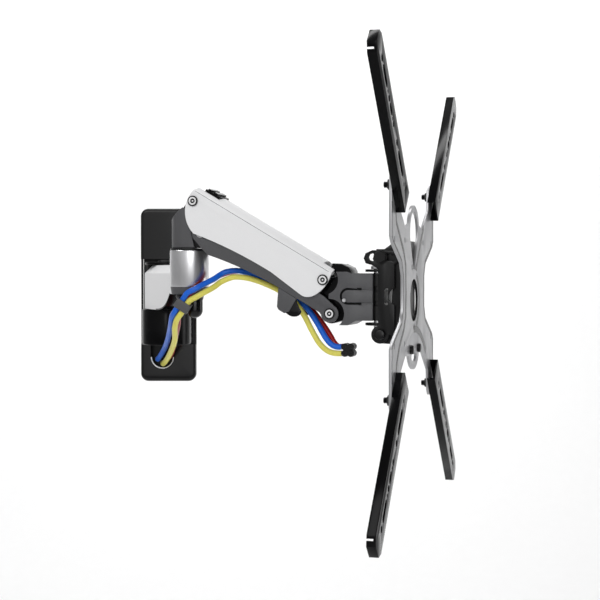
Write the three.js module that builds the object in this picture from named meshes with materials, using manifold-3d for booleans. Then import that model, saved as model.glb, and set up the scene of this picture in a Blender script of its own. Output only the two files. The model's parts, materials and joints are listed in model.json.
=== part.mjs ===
// Full motion television wall mount: a gas-spring arm on a tall wall plate, with a tilting
// centre plate and four bars at 45 degrees.
//
// Millimetres, +Z up. The origin is the centre of the wall plate's back face, the wall is the
// plane Y = 0, and the mount stands out from it along -Y.
import * as THREE from 'three';
import { mergeVertices } from 'three/addons/utils/BufferGeometryUtils.js';
import Module from 'manifold-3d';

const wasm = await Module();
wasm.setup();

// ---------------------------------------------------------------- driving dimensions

const GAP = 0.3; // between two pieces that touch
const ROUND = 24; // sides of a large round piece
const SMALL_ROUND = 12; // sides of a small round piece

const PLATE = { width: 64, height: 200, corner: 9, thick: 4, cover: 16, shell: 2, bevel: 4 };
const RECESS = { low: -57, high: 41.5, depth: 9 }; // band of the cover where the hinge stands
const PORT = { x: -7, z: -72, radius: 13.5 }; // cable opening in the cover
const LAG = { z: 88, head: 6, shank: 3.5 };

const HINGE_Y = -35; // wall hinge axis, at X = 0
const HOUSING = { radius: 27.5, low: -56, high: -15.5, ear_low: 34.5, ear_high: 37.5, ear: 24 };
const HINGE_PIN = { radius: 7, low: -45, head: 10, top: 39.5 };

const LINK_TURN = -72.4; // degrees, direction of the link from +X
const LINK = {
  length: 120, boss: 24.5, neck: 18, barrel: 20.5, low: -15, shoulder: 25, high: 34, slope: 9, top: 49, under: 3,
};
const ELBOW_PIN = 8;
const FLANGE = { radius: 14.5, low: -2 };
const CAP = { along: 4.6, across: 4.5, radius: 8.5, low: -22, high: -2.3 };

const ARM_TURN = -15.5; // degrees, direction of the arm from +X
const SLOPE = 30.4; // degrees, how far the arm slopes down at rest
const ARM_LENGTH = 160; // between the pivots of each arm
const UPPER_REAR = { r: 13.2, z: 99.4 }; // rear pivot of the upper arm, r from the elbow axis
const LOWER_OFFSET = { r: 6.2, z: -34 }; // from an upper pivot to the lower one
const PIVOT = { radius: 4, head: 5.4, head_thick: 1.6 };
const COVER = { half: 25, wall: 2.5, side_top: 10.4, crown: 16, rear_slot: 21, front_slot: 150, slot_half: 15 };
const LOWER = { half: 22, wall: 2.5, top: 12, web_from: 26, web_to: 140, web_low: 1.5, web_high: 4 };
const CORE = { half: 16, slot: 11 };
const REAR_RADIUS = 18.3; // rounded rear of the grey bracket round the core
const LOOP = { from: 100.4, to: 122.7, top: -4.5, low: -24, half: 22, wall: 3 };
const SPRING = { rear_r: 17.2, rear_z: 79.4, front_p: 120, front_q: -6, radius: 9, rod: 4.5, pin: 3 };
const SPRING_BODY = { from: 58, eye: 6.5 }; // cylinder starts this far from the rear pin
const ROD_EYE = { radius: 8, bore: 5.2, half: 5 };

const HEAD = { half: 22, scoop: 15, top: 25.5, low: -27, end: 200 };
const GROOVE = { left: 169, upper: 9.3, lower: -5.3, width: 2.4, deep: 1.2 };
const KNUCKLE = { half: 14, round: 7.4, lower_round: 10, end: 178 };
const SWIVEL_R = 202; // head swivel axis, from the elbow axis
const BARREL = { radius: 9.5, waist: 8.6, low: -22.5, high: 25, groove: 2, upper: 9.3, lower: -5.3 };
const SWIVEL_PIN = { radius: 4, head: 7, low: -31, high: 33.5 };

const YOKE = { flange_low: -27.5, flange_high: 29, sheet: 2.6, web: 212.3, half: 22.5, side: 223.5 };
const NOTCH = { r: 226.8, z: 1.9, radius: 9 }; // round notch in the front edge of each side
const TILT = { r: 209.1, z: -35.9, foot: 9, lock_r: 209.5, lock_z: 41.3, back: 5, forward: 9 };
const BRACKET = { half: 19.6, sheet: 2.5, base: 233.8, low: -46, high: 57 };
const BRACKET_SCREW = { shank: 3, head: 5.5, thick: 3, across: 11, upper: 24, lower: -35.6 };

const SCREEN_Z = 6.9; // height of the screen centre
const CENTRE_PLATE = { back: 236.6, thick: 2.6, waist: 58, hole: 21.5, hole_v: -8.8 };
const TOP_RING = { v: 57, outer: 29, inner: 22, point: 22, point_half: 3 };
const LOW_RING = { v: -44, outer: 34, opening: -65.5, opening_half: 14, opening_rise: 5 };
const BUTTON = { across: 20, v: -57.5, radius: 4.5, thick: 3.4 };
const BAR = { front: 248, back: 239.5, width: 28, sheet: 2, start: 119, end: 306, tip: 8 };
const BAR_BOLT = { at: 141.4, shank: 3, head: 6, nut: 5.8, nut_front: 236.3, nut_back: 232.6, end: 229 };
const CABLE = { radius: 3, sides: 8 };
const CABLE_END = { r: 172.4, z: -52.8, lobe: 3.6, half: 7 }; // r from the elbow axis
const STRAP = { place: [31.2, -173, -8.3], along: [0.56, -0.1, 0.82], half: 5, wall: 1.3 };

const radians = THREE.MathUtils.degToRad;

// ---------------------------------------------------------------- materials

const paint = (color, roughness, metalness) =>
  new THREE.MeshStandardMaterial({ color, roughness, metalness });
const LOOK = {
  gloss_black: () => paint(0x1e1e1e, 0.15, 0.1),
  black_metal: () => paint(0x1a1a1a, 0.45, 0.6),
  dark_grey: () => paint(0x5a5a5a, 0.5, 0.2),
  silver: () => paint(0xe6e6e6, 0.35, 0.4),
  steel: () => paint(0xb0b0b0, 0.3, 0.9),
  blue: () => paint(0x1f5fbf, 0.4, 0),
  yellow: () => paint(0xc8c060, 0.4, 0),
  red: () => paint(0x8a1a1a, 0.4, 0),
};

// ---------------------------------------------------------------- solids

function solid(geometry) {
  const bare = geometry.clone();
  bare.deleteAttribute('normal');
  bare.deleteAttribute('uv');
  const merged = mergeVertices(bare, 1e-4);
  const mesh = new wasm.Mesh({
    numProp: 3,
    vertProperties: new Float32Array(merged.attributes.position.array),
    triVerts: new Uint32Array(merged.index.array),
  });
  return new wasm.Manifold(mesh);
}

function geometryOf(body) {
  const mesh = body.getMesh();
  const geometry = new THREE.BufferGeometry();
  geometry.setAttribute('position', new THREE.BufferAttribute(mesh.vertProperties, 3));
  geometry.setIndex(new THREE.BufferAttribute(mesh.triVerts, 1));
  geometry.computeVertexNormals();
  return geometry;
}

const join = (...parts) => geometryOf(parts.map(solid).reduce((a, b) => a.add(b)));
const cut = (base, ...tools) => geometryOf(tools.map(solid).reduce((a, b) => a.subtract(b), solid(base)));
const meet = (...parts) => geometryOf(parts.map(solid).reduce((a, b) => a.intersect(b)));

// A shape drawn in (x, y), standing from z = low to z = high.
function slab(shape, low, high, curveSegments = 8) {
  const depth = high - low;
  return new THREE.ExtrudeGeometry(shape, { depth, bevelEnabled: false, curveSegments }).translate(0, 0, low);
}

// A shape drawn in (x, z), running from y = near to y = far.
function plank(shape, near, far, curveSegments = 8) {
  return slab(shape, -far, -near, curveSegments).rotateX(Math.PI / 2);
}

// A shape drawn in (y, z), running from x = back to x = front.
function panel(shape, back, front, curveSegments = 8) {
  const turn = new THREE.Matrix4().set(0, 0, 1, 0, 1, 0, 0, 0, 0, 1, 0, 0, 0, 0, 0, 1);
  return slab(shape, back, front, curveSegments).applyMatrix4(turn);
}

function block(x0, x1, y0, y1, z0, z1) {
  const box = new THREE.BoxGeometry(x1 - x0, y1 - y0, z1 - z0);
  return box.translate((x0 + x1) / 2, (y0 + y1) / 2, (z0 + z1) / 2);
}

// Round bars along each axis, given their radius and their two ends.
function barX(radius, x0, x1, y = 0, z = 0, sides = SMALL_ROUND) {
  const bar = new THREE.CylinderGeometry(radius, radius, x1 - x0, sides).rotateZ(Math.PI / 2);
  return bar.translate((x0 + x1) / 2, y, z);
}

function barY(radius, y0, y1, x = 0, z = 0, sides = SMALL_ROUND) {
  const bar = new THREE.CylinderGeometry(radius, radius, y1 - y0, sides);
  return bar.translate(x, (y0 + y1) / 2, z);
}

function barZ(radius, z0, z1, x = 0, y = 0, sides = ROUND) {
  const bar = new THREE.CylinderGeometry(radius, radius, z1 - z0, sides).rotateX(Math.PI / 2);
  return bar.translate(x, y, (z0 + z1) / 2);
}

function polygon(points) {
  return new THREE.Shape(points.map(([x, y]) => new THREE.Vector2(x, y)));
}

function roundedBox(width, height, corner) {
  const x = width / 2;
  const y = height / 2;
  const shape = new THREE.Shape();
  shape.moveTo(-x + corner, -y);
  shape.absarc(x - corner, -y + corner, corner, -Math.PI / 2, 0);
  shape.absarc(x - corner, y - corner, corner, 0, Math.PI / 2);
  shape.absarc(-x + corner, y - corner, corner, Math.PI / 2, Math.PI);
  shape.absarc(-x + corner, -y + corner, corner, Math.PI, 1.5 * Math.PI);
  return shape;
}

function add(group, name, geometry, material, x = 0, y = 0, z = 0) {
  const mesh = new THREE.Mesh(geometry, material);
  mesh.name = name;
  mesh.position.set(x, y, z);
  group.add(mesh);
}

// ---------------------------------------------------------------- wall plate and hinge

function wallPlate() {
  const edge = PLATE.shell + 0.5;
  const outline = roundedBox(PLATE.width - 2 * edge, PLATE.height - 2 * edge, PLATE.corner - edge);
  const holes = [LAG.z, -LAG.z].map((z) => barY(LAG.shank + GAP, -PLATE.thick - 1, 1, 0, z));
  return cut(plank(outline, -PLATE.thick, 0), ...holes);
}

function wallCover() {
  const outline = roundedBox(PLATE.width, PLATE.height, PLATE.corner);
  const bevelled = new THREE.ExtrudeGeometry(roundedBox(
    PLATE.width - 2 * PLATE.bevel, PLATE.height - 2 * PLATE.bevel, PLATE.corner - PLATE.bevel,
  ), {
    depth: PLATE.cover - PLATE.bevel,
    bevelThickness: PLATE.bevel,
    bevelSize: PLATE.bevel,
    bevelSegments: 2,
    curveSegments: 5,
  }).rotateX(Math.PI / 2);
  const behindFront = plank(outline, -PLATE.cover, -1, 5);
  const inner = roundedBox(PLATE.width - 2 * PLATE.shell, PLATE.height - 2 * PLATE.shell, PLATE.corner - 2);
  const hollow = plank(inner, -PLATE.cover + 2.5, 1, 4);
  const band = block(-PLATE.width, PLATE.width, -2 * PLATE.cover, -RECESS.depth, RECESS.low, RECESS.high);
  const port = new THREE.Shape();
  port.moveTo(PORT.x + PORT.radius, RECESS.low + 1);
  port.lineTo(PORT.x + PORT.radius, PORT.z);
  port.absarc(PORT.x, PORT.z, PORT.radius, 0, -Math.PI, true);
  port.lineTo(PORT.x - PORT.radius, RECESS.low + 1);
  const opening = plank(port, -2 * PLATE.cover, -PLATE.thick - 1);
  return cut(meet(bevelled, behindFront), hollow, band, opening);
}

// One casting: a D-shaped lower housing and a thin upper ear on a common back.
function hingeHousing() {
  const back = -PLATE.thick - GAP;
  const dee = (radius) => {
    const shape = new THREE.Shape();
    shape.moveTo(radius, back);
    shape.lineTo(-radius, back);
    shape.lineTo(-radius, HINGE_Y);
    shape.absarc(0, HINGE_Y, radius, Math.PI, 2 * Math.PI);
    return shape;
  };
  const body = join(
    slab(dee(HOUSING.radius), HOUSING.low, HOUSING.high, ROUND / 2),
    slab(dee(HOUSING.ear), HOUSING.ear_low, HOUSING.ear_high, ROUND / 2),
    block(-HOUSING.ear, HOUSING.ear, back - 4, back, HOUSING.low, HOUSING.ear_high),
  );
  return cut(body, barZ(HINGE_PIN.radius + GAP, HINGE_PIN.low - GAP, HINGE_PIN.top + 1, 0, HINGE_Y));
}

function hingePin() {
  const top = HOUSING.ear_high + GAP;
  const profile = [
    [0, HINGE_PIN.low], [HINGE_PIN.radius, HINGE_PIN.low], [HINGE_PIN.radius, top], [HINGE_PIN.head, top],
    [HINGE_PIN.head, HINGE_PIN.top - 1], [HINGE_PIN.head - 1, HINGE_PIN.top], [0, HINGE_PIN.top],
  ].map(([x, y]) => new THREE.Vector2(x, y));
  return new THREE.LatheGeometry(profile, ROUND).rotateX(Math.PI / 2).translate(0, HINGE_Y, 0);
}

// Hexagonal head with a short shank that stands in the plate's hole.
function lagScrew() {
  const head = barY(LAG.head, -PLATE.thick - GAP - 5, -PLATE.thick - GAP, 0, 0, 6);
  return join(head, barY(LAG.shank, -PLATE.thick - 1, -0.5));
}

// ---------------------------------------------------------------- swivel link

// One casting: a flat boss and web with sloped top edges, and a taller round barrel.
function swivelLink() {
  const outline = (inset) => {
    const plan = new THREE.Shape();
    plan.absarc(0, 0, LINK.boss - inset, Math.PI / 2, 1.5 * Math.PI);
    plan.lineTo(LINK.length, -LINK.neck + inset);
    plan.lineTo(LINK.length, LINK.neck - inset);
    return plan;
  };
  const side = new THREE.Shape();
  side.moveTo(-LINK.boss - 1, LINK.low + 5);
  side.quadraticCurveTo(-LINK.boss + 3, LINK.low, -LINK.boss + 10, LINK.low);
  side.lineTo(24, LINK.low);
  side.bezierCurveTo(60, LINK.low, 70, LINK.under, 96, LINK.under);
  side.lineTo(LINK.length + 1, LINK.under);
  side.lineTo(LINK.length + 1, LINK.top);
  side.lineTo(-LINK.boss - 1, LINK.top);
  const steps = [0, 1, 2, 3].map((i) => {
    const low = i === 0 ? LINK.low - 1 : LINK.shoulder + ((i - 1) * (LINK.high - LINK.shoulder)) / 3;
    return slab(outline((i * LINK.slope) / 3), low, LINK.shoulder + (i * (LINK.high - LINK.shoulder)) / 3, 12);
  });
  const web = meet(join(...steps), plank(side, -2 * LINK.boss, 2 * LINK.boss, 8));
  const profile = [
    [0, LINK.under], [LINK.barrel - 2, LINK.under], [LINK.barrel, LINK.under + 9.5], [LINK.barrel, LINK.top],
    [0, LINK.top],
  ].map(([x, y]) => new THREE.Vector2(x, y));
  const barrel = new THREE.LatheGeometry(profile, ROUND).rotateX(Math.PI / 2).translate(LINK.length, 0, 0);
  return cut(
    join(web, barrel),
    barZ(HINGE_PIN.radius + GAP, LINK.low - 1, LINK.top + 1),
    barZ(ELBOW_PIN + GAP, LINK.under - 1, LINK.top + 1, LINK.length, 0),
  );
}

function elbowFlange() {
  const profile = [
    [0, FLANGE.low], [FLANGE.radius - 2, FLANGE.low], [FLANGE.radius, FLANGE.low + 2],
    [FLANGE.radius, LINK.under - GAP], [0, LINK.under - GAP],
  ].map(([x, y]) => new THREE.Vector2(x, y));
  return new THREE.LatheGeometry(profile, ROUND).rotateX(Math.PI / 2);
}

function elbowCap() {
  const dome = CAP.low + CAP.radius;
  const profile = [new THREE.Vector2(0, CAP.low)];
  for (let i = 1; i <= 5; i += 1) {
    const angle = (i / 5) * (Math.PI / 2);
    profile.push(new THREE.Vector2(CAP.radius * Math.sin(angle), dome - CAP.radius * Math.cos(angle)));
  }
  profile.push(new THREE.Vector2(CAP.radius, CAP.high), new THREE.Vector2(0, CAP.high));
  return new THREE.LatheGeometry(profile, 20).rotateX(Math.PI / 2);
}

// ---------------------------------------------------------------- arm base

// Grey outer bracket, closed at the rear and open towards the arm.
function elbowBracket() {
  const side = polygon([
    [-22, 51.7], [12, 51.7], [4.5, 84], [2.5, 91.5], [-1, 93.5], [-11, 86], [-22, 77],
  ]);
  const plan = new THREE.Shape();
  plan.absarc(0, 0, REAR_RADIUS, Math.PI / 2, 1.5 * Math.PI);
  plan.lineTo(30, -REAR_RADIUS);
  plan.lineTo(30, REAR_RADIUS);
  const body = meet(slab(plan, 50, 100, ROUND / 2), plank(side, -30, 30));
  return cut(body, block(-6 - GAP, 40, -CORE.half - GAP, CORE.half + GAP, 50, 110));
}

// Black core inside the bracket, with two cheeks that hold the rear pivots.
function armBaseCore() {
  const side = new THREE.Shape();
  side.moveTo(-6, 51.7);
  side.lineTo(22, 51.7);
  side.lineTo(28, 60);
  side.lineTo(27, 76);
  side.absarc(UPPER_REAR.r, UPPER_REAR.z, 7.4, 0.05 * Math.PI, 0.8 * Math.PI);
  side.lineTo(-6, 86);
  const lower = lowerPivot(UPPER_REAR);
  return cut(
    plank(side, -CORE.half, CORE.half),
    block(0, 60, -CORE.slot, CORE.slot, 58, 120),
    barY(PIVOT.radius + GAP, -30, 30, UPPER_REAR.r, UPPER_REAR.z),
    barY(PIVOT.radius + GAP, -30, 30, lower.r, lower.z),
    barY(SPRING.pin + GAP, -30, 30, SPRING.rear_r, SPRING.rear_z),
  );
}

function lowerPivot(upper) {
  return { r: upper.r + LOWER_OFFSET.r, z: upper.z + LOWER_OFFSET.z };
}

function elbowWasher() {
  return cut(barZ(LINK.barrel - 0.5, LINK.top + GAP, LINK.top + 1.9), barZ(ELBOW_PIN + GAP, LINK.top, LINK.top + 3));
}

// A pivot screw through the arm, with a round socket head proud of each side.
function pivotScrew(half) {
  const head = (y0, y1) => barY(PIVOT.head, y0, y1, 0, 0, 16);
  const outer = half + GAP;
  const body = join(
    barY(PIVOT.radius, -outer - 0.5, outer + 0.5),
    head(-outer - PIVOT.head_thick, -outer),
    head(outer, outer + PIVOT.head_thick),
  );
  const socket = (y0, y1) => barY(2.6, y0, y1, 0, 0, 6);
  return cut(
    body,
    socket(-outer - PIVOT.head_thick - 1, -outer - 0.2),
    socket(outer + 0.2, outer + PIVOT.head_thick + 1),
  );
}

// ---------------------------------------------------------------- arms

// The upper arm's outline along and across its own slope, from its rear pivot.
function coverOutline() {
  const shape = new THREE.Shape();
  shape.moveTo(17, -28.7);
  shape.quadraticCurveTo(60, -20.5, 109, -20.7);
  shape.lineTo(147, -24.6);
  shape.quadraticCurveTo(158, -26, 163.5, -11);
  shape.quadraticCurveTo(167.5, 1, 162.7, COVER.crown);
  shape.lineTo(-3, COVER.crown);
  shape.quadraticCurveTo(-9, 4, -4.5, -9);
  shape.quadraticCurveTo(2, -24, 17, -28.7);
  return shape;
}

function upperArmCover() {
  const crown = new THREE.Shape();
  crown.moveTo(-COVER.half, -40);
  crown.lineTo(COVER.half, -40);
  crown.lineTo(COVER.half, COVER.side_top);
  crown.quadraticCurveTo(0, 2 * COVER.crown - COVER.side_top, -COVER.half, COVER.side_top);
  const body = meet(plank(coverOutline(), -COVER.half, COVER.half), panel(crown, -20, 180));
  const inside = COVER.half - COVER.wall;
  const room = block(-20, ARM_LENGTH + 20, -inside, inside, -40, COVER.side_top - COVER.wall);
  const rearSlot = block(-20, COVER.rear_slot, -COVER.slot_half, COVER.slot_half, 0, 30);
  const frontSlot = block(COVER.front_slot, 180, -COVER.slot_half, COVER.slot_half, 0, 30);
  const through = (p) => barY(PIVOT.radius + GAP, -40, 40, p, 0);
  return cut(body, room, rearSlot, frontSlot, through(0), through(ARM_LENGTH));
}

// The lower arm is two side walls joined by a web, open above and below it.
function lowerArm() {
  const side = new THREE.Shape();
  side.absarc(0, 0, 8.5, Math.PI / 2, 1.5 * Math.PI);
  side.lineTo(8.6, -11.7);
  side.lineTo(18, -14.1);
  side.quadraticCurveTo(60, -5, 105, -4.2);
  side.lineTo(150, -4.2);
  side.absarc(ARM_LENGTH, 0, 9, 1.2 * Math.PI, 2.5 * Math.PI);
  side.lineTo(146, LOWER.top);
  side.lineTo(16, LOWER.top);
  const inside = LOWER.half - LOWER.wall;
  const through = (p) => barY(PIVOT.radius + GAP, -40, 40, p, 0);
  const walls = cut(
    plank(side, -LOWER.half, LOWER.half),
    block(-40, ARM_LENGTH + 40, -inside, inside, -60, 60),
    through(0),
    through(ARM_LENGTH),
  );
  const wide = inside + LOWER.wall / 2;
  return join(walls, block(LOWER.web_from, LOWER.web_to, -wide, wide, LOWER.web_low, LOWER.web_high));
}

// U-shaped guide under the lower arm that the cables run through.
function cableLoop() {
  const side = polygon([
    [LOOP.from, LOOP.top], [LOOP.from + 8.6, LOOP.low + 1.8], [LOOP.from + 11.6, LOOP.low],
    [LOOP.to - 3.7, LOOP.low], [LOOP.to - 0.2, LOOP.low + 4], [LOOP.to, LOOP.top],
  ]);
  const inside = LOOP.half - LOOP.wall;
  const hollow = block(LOOP.from - 10, LOOP.to + 10, -inside, inside, LOOP.low + LOOP.wall, LOOP.top + 1);
  return cut(plank(side, -LOOP.half, LOOP.half), hollow);
}

// ---------------------------------------------------------------- gas spring, drawn along +X from its rear pin

function springLength() {
  const slope = radians(SLOPE);
  const front = {
    r: UPPER_REAR.r + SPRING.front_p * Math.cos(slope) + SPRING.front_q * Math.sin(slope),
    z: UPPER_REAR.z - SPRING.front_p * Math.sin(slope) + SPRING.front_q * Math.cos(slope),
  };
  const run = front.r - SPRING.rear_r;
  const fall = SPRING.rear_z - front.z;
  return { length: Math.hypot(run, fall), slope: Math.atan2(fall, run) };
}

function gasCylinder(length) {
  const tube = barX(SPRING.radius, SPRING_BODY.from, length - 12, 0, 0, 20);
  const bore = barX(SPRING.rod + GAP, SPRING_BODY.from - 1, length - 16);
  const neck = barX(5, length - 12.5, length - 4);
  const eye = barY(SPRING_BODY.eye, -5, 5, length, 0);
  return cut(join(cut(tube, bore), neck, eye), barY(SPRING.pin + GAP, -10, 10, length, 0));
}

function gasRod() {
  const rod = barX(SPRING.rod, ROD_EYE.radius - 2, 74);
  const eye = barY(ROD_EYE.radius, -ROD_EYE.half, ROD_EYE.half, 0, 0, 20);
  return cut(join(rod, eye), barY(ROD_EYE.bore, -10, 10, 0, 0));
}

// ---------------------------------------------------------------- head

// A groove in the shape of a U lying on its side, open towards the barrel.
function grooveLine() {
  const middle = (GROOVE.upper + GROOVE.lower) / 2;
  const run = (GROOVE.upper - GROOVE.lower) / 2;
  const outer = run + GROOVE.width / 2;
  const inner = run - GROOVE.width / 2;
  const turn = GROOVE.left + run;
  const shape = new THREE.Shape();
  shape.moveTo(HEAD.end + 1, middle + outer);
  shape.absarc(turn, middle, outer, Math.PI / 2, 1.5 * Math.PI);
  shape.lineTo(HEAD.end + 1, middle - outer);
  shape.lineTo(HEAD.end + 1, middle - inner);
  shape.absarc(turn, middle, inner, 1.5 * Math.PI, Math.PI / 2, true);
  shape.lineTo(HEAD.end + 1, middle + inner);
  return shape;
}

function headBlock() {
  const upper = {
    r: UPPER_REAR.r + ARM_LENGTH * Math.cos(radians(SLOPE)),
    z: UPPER_REAR.z - ARM_LENGTH * Math.sin(radians(SLOPE)),
  };
  const lower = lowerPivot(upper);
  const side = polygon([
    [150, HEAD.low], [176, HEAD.low], [184, BARREL.low], [HEAD.end, BARREL.low],
    [HEAD.end, BARREL.high], [178, BARREL.high], [174, HEAD.top + 1], [150, HEAD.top + 1],
  ]);
  const plan = (inset) => polygon([
    [148, -HEAD.half + inset], [184, -HEAD.half + inset], [192, inset - 17], [HEAD.end, inset - 15.5],
    [HEAD.end, 15.5 - inset], [192, 17 - inset], [184, HEAD.half - inset], [148, HEAD.half - inset],
  ]);
  const grey = cut(
    meet(plank(side, -HEAD.half, HEAD.half), slab(plan(0), -40, 40)),
    barY(HEAD.scoop, -30, 30, upper.r, upper.z, 28),
    barY(HEAD.scoop, -30, 30, lower.r, lower.z, 28),
    block(140, 156.5, -30, 30, -40, 40),
    cut(plank(grooveLine(), -30, 30), slab(plan(GROOVE.deep), -40, 40)),
  );
  const knuckleSide = new THREE.Shape();
  knuckleSide.moveTo(lower.r - KNUCKLE.lower_round, lower.z);
  knuckleSide.absarc(lower.r, lower.z, KNUCKLE.lower_round, Math.PI, 1.6 * Math.PI);
  knuckleSide.lineTo(KNUCKLE.end, -20);
  knuckleSide.lineTo(KNUCKLE.end, 27);
  knuckleSide.lineTo(176, 30.5);
  knuckleSide.lineTo(168, 34.5);
  knuckleSide.lineTo(158.5, 35);
  knuckleSide.lineTo(157, 31);
  knuckleSide.lineTo(163.5, 22);
  knuckleSide.absarc(upper.r, upper.z, KNUCKLE.round, 0.1 * Math.PI, Math.PI);
  const knuckle = plank(knuckleSide, -KNUCKLE.half, KNUCKLE.half, 10);
  const through = (pivot) => barY(PIVOT.radius + GAP, -40, 40, pivot.r, pivot.z);
  return cut(
    join(grey, knuckle),
    through(upper),
    through(lower),
    barZ(BARREL.radius + GAP, -40, 40, SWIVEL_R, 0),
  );
}

// The head's vertical barrel, in three bands with a groove between each two.
function swivelBarrel() {
  const band = [
    [SWIVEL_PIN.radius + GAP, BARREL.low], [BARREL.radius, BARREL.low],
    [BARREL.radius, BARREL.lower - BARREL.groove], [BARREL.waist - 1, BARREL.lower - BARREL.groove],
    [BARREL.waist - 1, BARREL.lower + BARREL.groove], [BARREL.waist, BARREL.lower + BARREL.groove],
    [BARREL.waist, BARREL.upper - BARREL.groove], [BARREL.waist - 1, BARREL.upper - BARREL.groove],
    [BARREL.waist - 1, BARREL.upper + BARREL.groove], [BARREL.radius, BARREL.upper + BARREL.groove],
    [BARREL.radius, BARREL.high], [SWIVEL_PIN.radius + GAP, BARREL.high],
    [SWIVEL_PIN.radius + GAP, BARREL.low],
  ].map(([x, y]) => new THREE.Vector2(x, y));
  return new THREE.LatheGeometry(band, 24).rotateX(Math.PI / 2);
}

function swivelPin() {
  const top = YOKE.flange_high + GAP;
  const profile = [
    [0, SWIVEL_PIN.low], [SWIVEL_PIN.radius, SWIVEL_PIN.low], [SWIVEL_PIN.radius, top], [SWIVEL_PIN.head, top],
    [SWIVEL_PIN.head, SWIVEL_PIN.high], [0, SWIVEL_PIN.high],
  ].map(([x, y]) => new THREE.Vector2(x, y));
  return new THREE.LatheGeometry(profile, 20).rotateX(Math.PI / 2);
}

// ---------------------------------------------------------------- yoke and tilt bracket

function arcPoint(degrees) {
  const reach = Math.hypot(TILT.lock_r - TILT.r, TILT.lock_z - TILT.z);
  const start = Math.atan2(TILT.lock_z - TILT.z, TILT.lock_r - TILT.r);
  const angle = start - radians(degrees);
  return [TILT.r + reach * Math.cos(angle), TILT.z + reach * Math.sin(angle)];
}

// Each side plate carries the tilt rod at its foot and the lock bolt's curved slot at its head.
function yokeSide(near, far) {
  const [leftR, leftZ] = arcPoint(-TILT.back - 1);
  const [rightR, rightZ] = arcPoint(TILT.forward + 1);
  const strip = polygon([
    [207, -36], [YOKE.side, -36], [YOKE.side, 34], [rightR + 3.5, rightZ - 4],
    [rightR + 4.5, rightZ + 3], [rightR, rightZ + 7], [leftR, leftZ + 7], [leftR - 7, leftZ + 4],
    [leftR - 9, leftZ - 1], [leftR - 7, leftZ - 6], [leftR, leftZ - 8], [207, 29],
  ]);
  const slot = [];
  for (let degrees = -TILT.back - 1; degrees <= TILT.forward + 1; degrees += 3) {
    slot.push(barY(3.9, near - 1, far + 1, ...arcPoint(degrees), 8));
  }
  const foot = barY(TILT.foot, near, far, TILT.r, TILT.z, 24);
  const rod = barY(4 + GAP, near - 1, far + 1, TILT.r, TILT.z);
  const notch = barY(NOTCH.radius, near - 1, far + 1, NOTCH.r, NOTCH.z, ROUND);
  return cut(join(plank(strip, near, far), foot), rod, notch, ...slot);
}

function swivelYoke() {
  const flange = new THREE.Shape();
  flange.moveTo(YOKE.web + YOKE.sheet, -YOKE.half);
  flange.lineTo(YOKE.web + YOKE.sheet, YOKE.half);
  flange.lineTo(207, YOKE.half);
  flange.absarc(SWIVEL_R, 0, 12.5, Math.PI / 3, (5 * Math.PI) / 3);
  flange.lineTo(207, -YOKE.half);
  const inner = YOKE.half - YOKE.sheet;
  const body = join(
    block(YOKE.web, YOKE.web + YOKE.sheet, -YOKE.half, YOKE.half, YOKE.flange_low, YOKE.flange_high),
    slab(flange, YOKE.flange_low, YOKE.flange_low + YOKE.sheet, 8),
    slab(flange, YOKE.flange_high - YOKE.sheet, YOKE.flange_high, 8),
    yokeSide(-YOKE.half, -inner),
    yokeSide(inner, YOKE.half),
  );
  return cut(body, barZ(SWIVEL_PIN.radius + GAP, -60, 60, SWIVEL_R, 0, 20));
}

function tiltBracket() {
  const front = BRACKET.base + BRACKET.sheet;
  const side = polygon([
    [front, BRACKET.low], [front, BRACKET.high], [224, BRACKET.high], [213, 49], [205, 49], [202, 44],
    [203, 37], [208, 34.5], [222.4, 33.5], [222.4, 28], [218.5, -29.5], [211, -28.7], [204, -29.2],
    [201.5, -37], [205, -44.5],
  ]);
  const inner = BRACKET.half - BRACKET.sheet;
  const body = join(
    block(BRACKET.base, front, -BRACKET.half, BRACKET.half, BRACKET.low, BRACKET.high),
    plank(side, -BRACKET.half, -inner),
    plank(side, inner, BRACKET.half),
  );
  return cut(
    body,
    barY(4 + GAP, -40, 40, TILT.r, TILT.z),
    barY(3 + GAP, -40, 40, TILT.lock_r, TILT.lock_z),
    ...bracketScrewHoles(),
  );
}

// A rod across both side plates, with a head of the given sides at each end.
function crossRod(radius, head, sides) {
  const outer = YOKE.half + GAP;
  return join(
    barY(radius, -outer - 0.5, outer + 0.5),
    barY(head, -outer - 3.5, -outer, 0, 0, sides),
    barY(head, outer, outer + 3.5, 0, 0, sides),
  );
}

// Across and height of the screws that hold the centre plate to the bracket.
const BRACKET_SCREWS = {
  upper_near: [-BRACKET_SCREW.across, SCREEN_Z + BRACKET_SCREW.upper],
  upper_far: [BRACKET_SCREW.across, SCREEN_Z + BRACKET_SCREW.upper],
  lower: [0, SCREEN_Z + BRACKET_SCREW.lower],
};

function bracketScrewHoles() {
  return Object.values(BRACKET_SCREWS).map(([y, z]) => barX(BRACKET_SCREW.shank + GAP, 220, 250, y, z));
}

// ---------------------------------------------------------------- centre plate and bars

// One side of the plate's outline, from the bottom lobe to the top lobe.
function centrePlateOutline() {
  const half = [
    [46, -62], [82, -84], [86, -106], [92, -112], [108, -112], [114, -106], [114, -52], [108, -46],
    [66, -28], [CENTRE_PLATE.waist, -16],
  ];
  const right = [...half, ...half.map(([u, v]) => [u, -v]).reverse()];
  const left = right.map(([u, v]) => [-u, v]).reverse();
  const shape = new THREE.Shape();
  shape.moveTo(...right[0]);
  right.slice(1).forEach((point) => shape.lineTo(...point));
  shape.absarc(0, TOP_RING.v, TOP_RING.outer, 0.35, Math.PI - 0.35);
  left.forEach((point) => shape.lineTo(...point));
  shape.absarc(0, LOW_RING.v, LOW_RING.outer, Math.PI + 0.6, 2 * Math.PI - 0.6);
  return shape;
}

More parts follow.
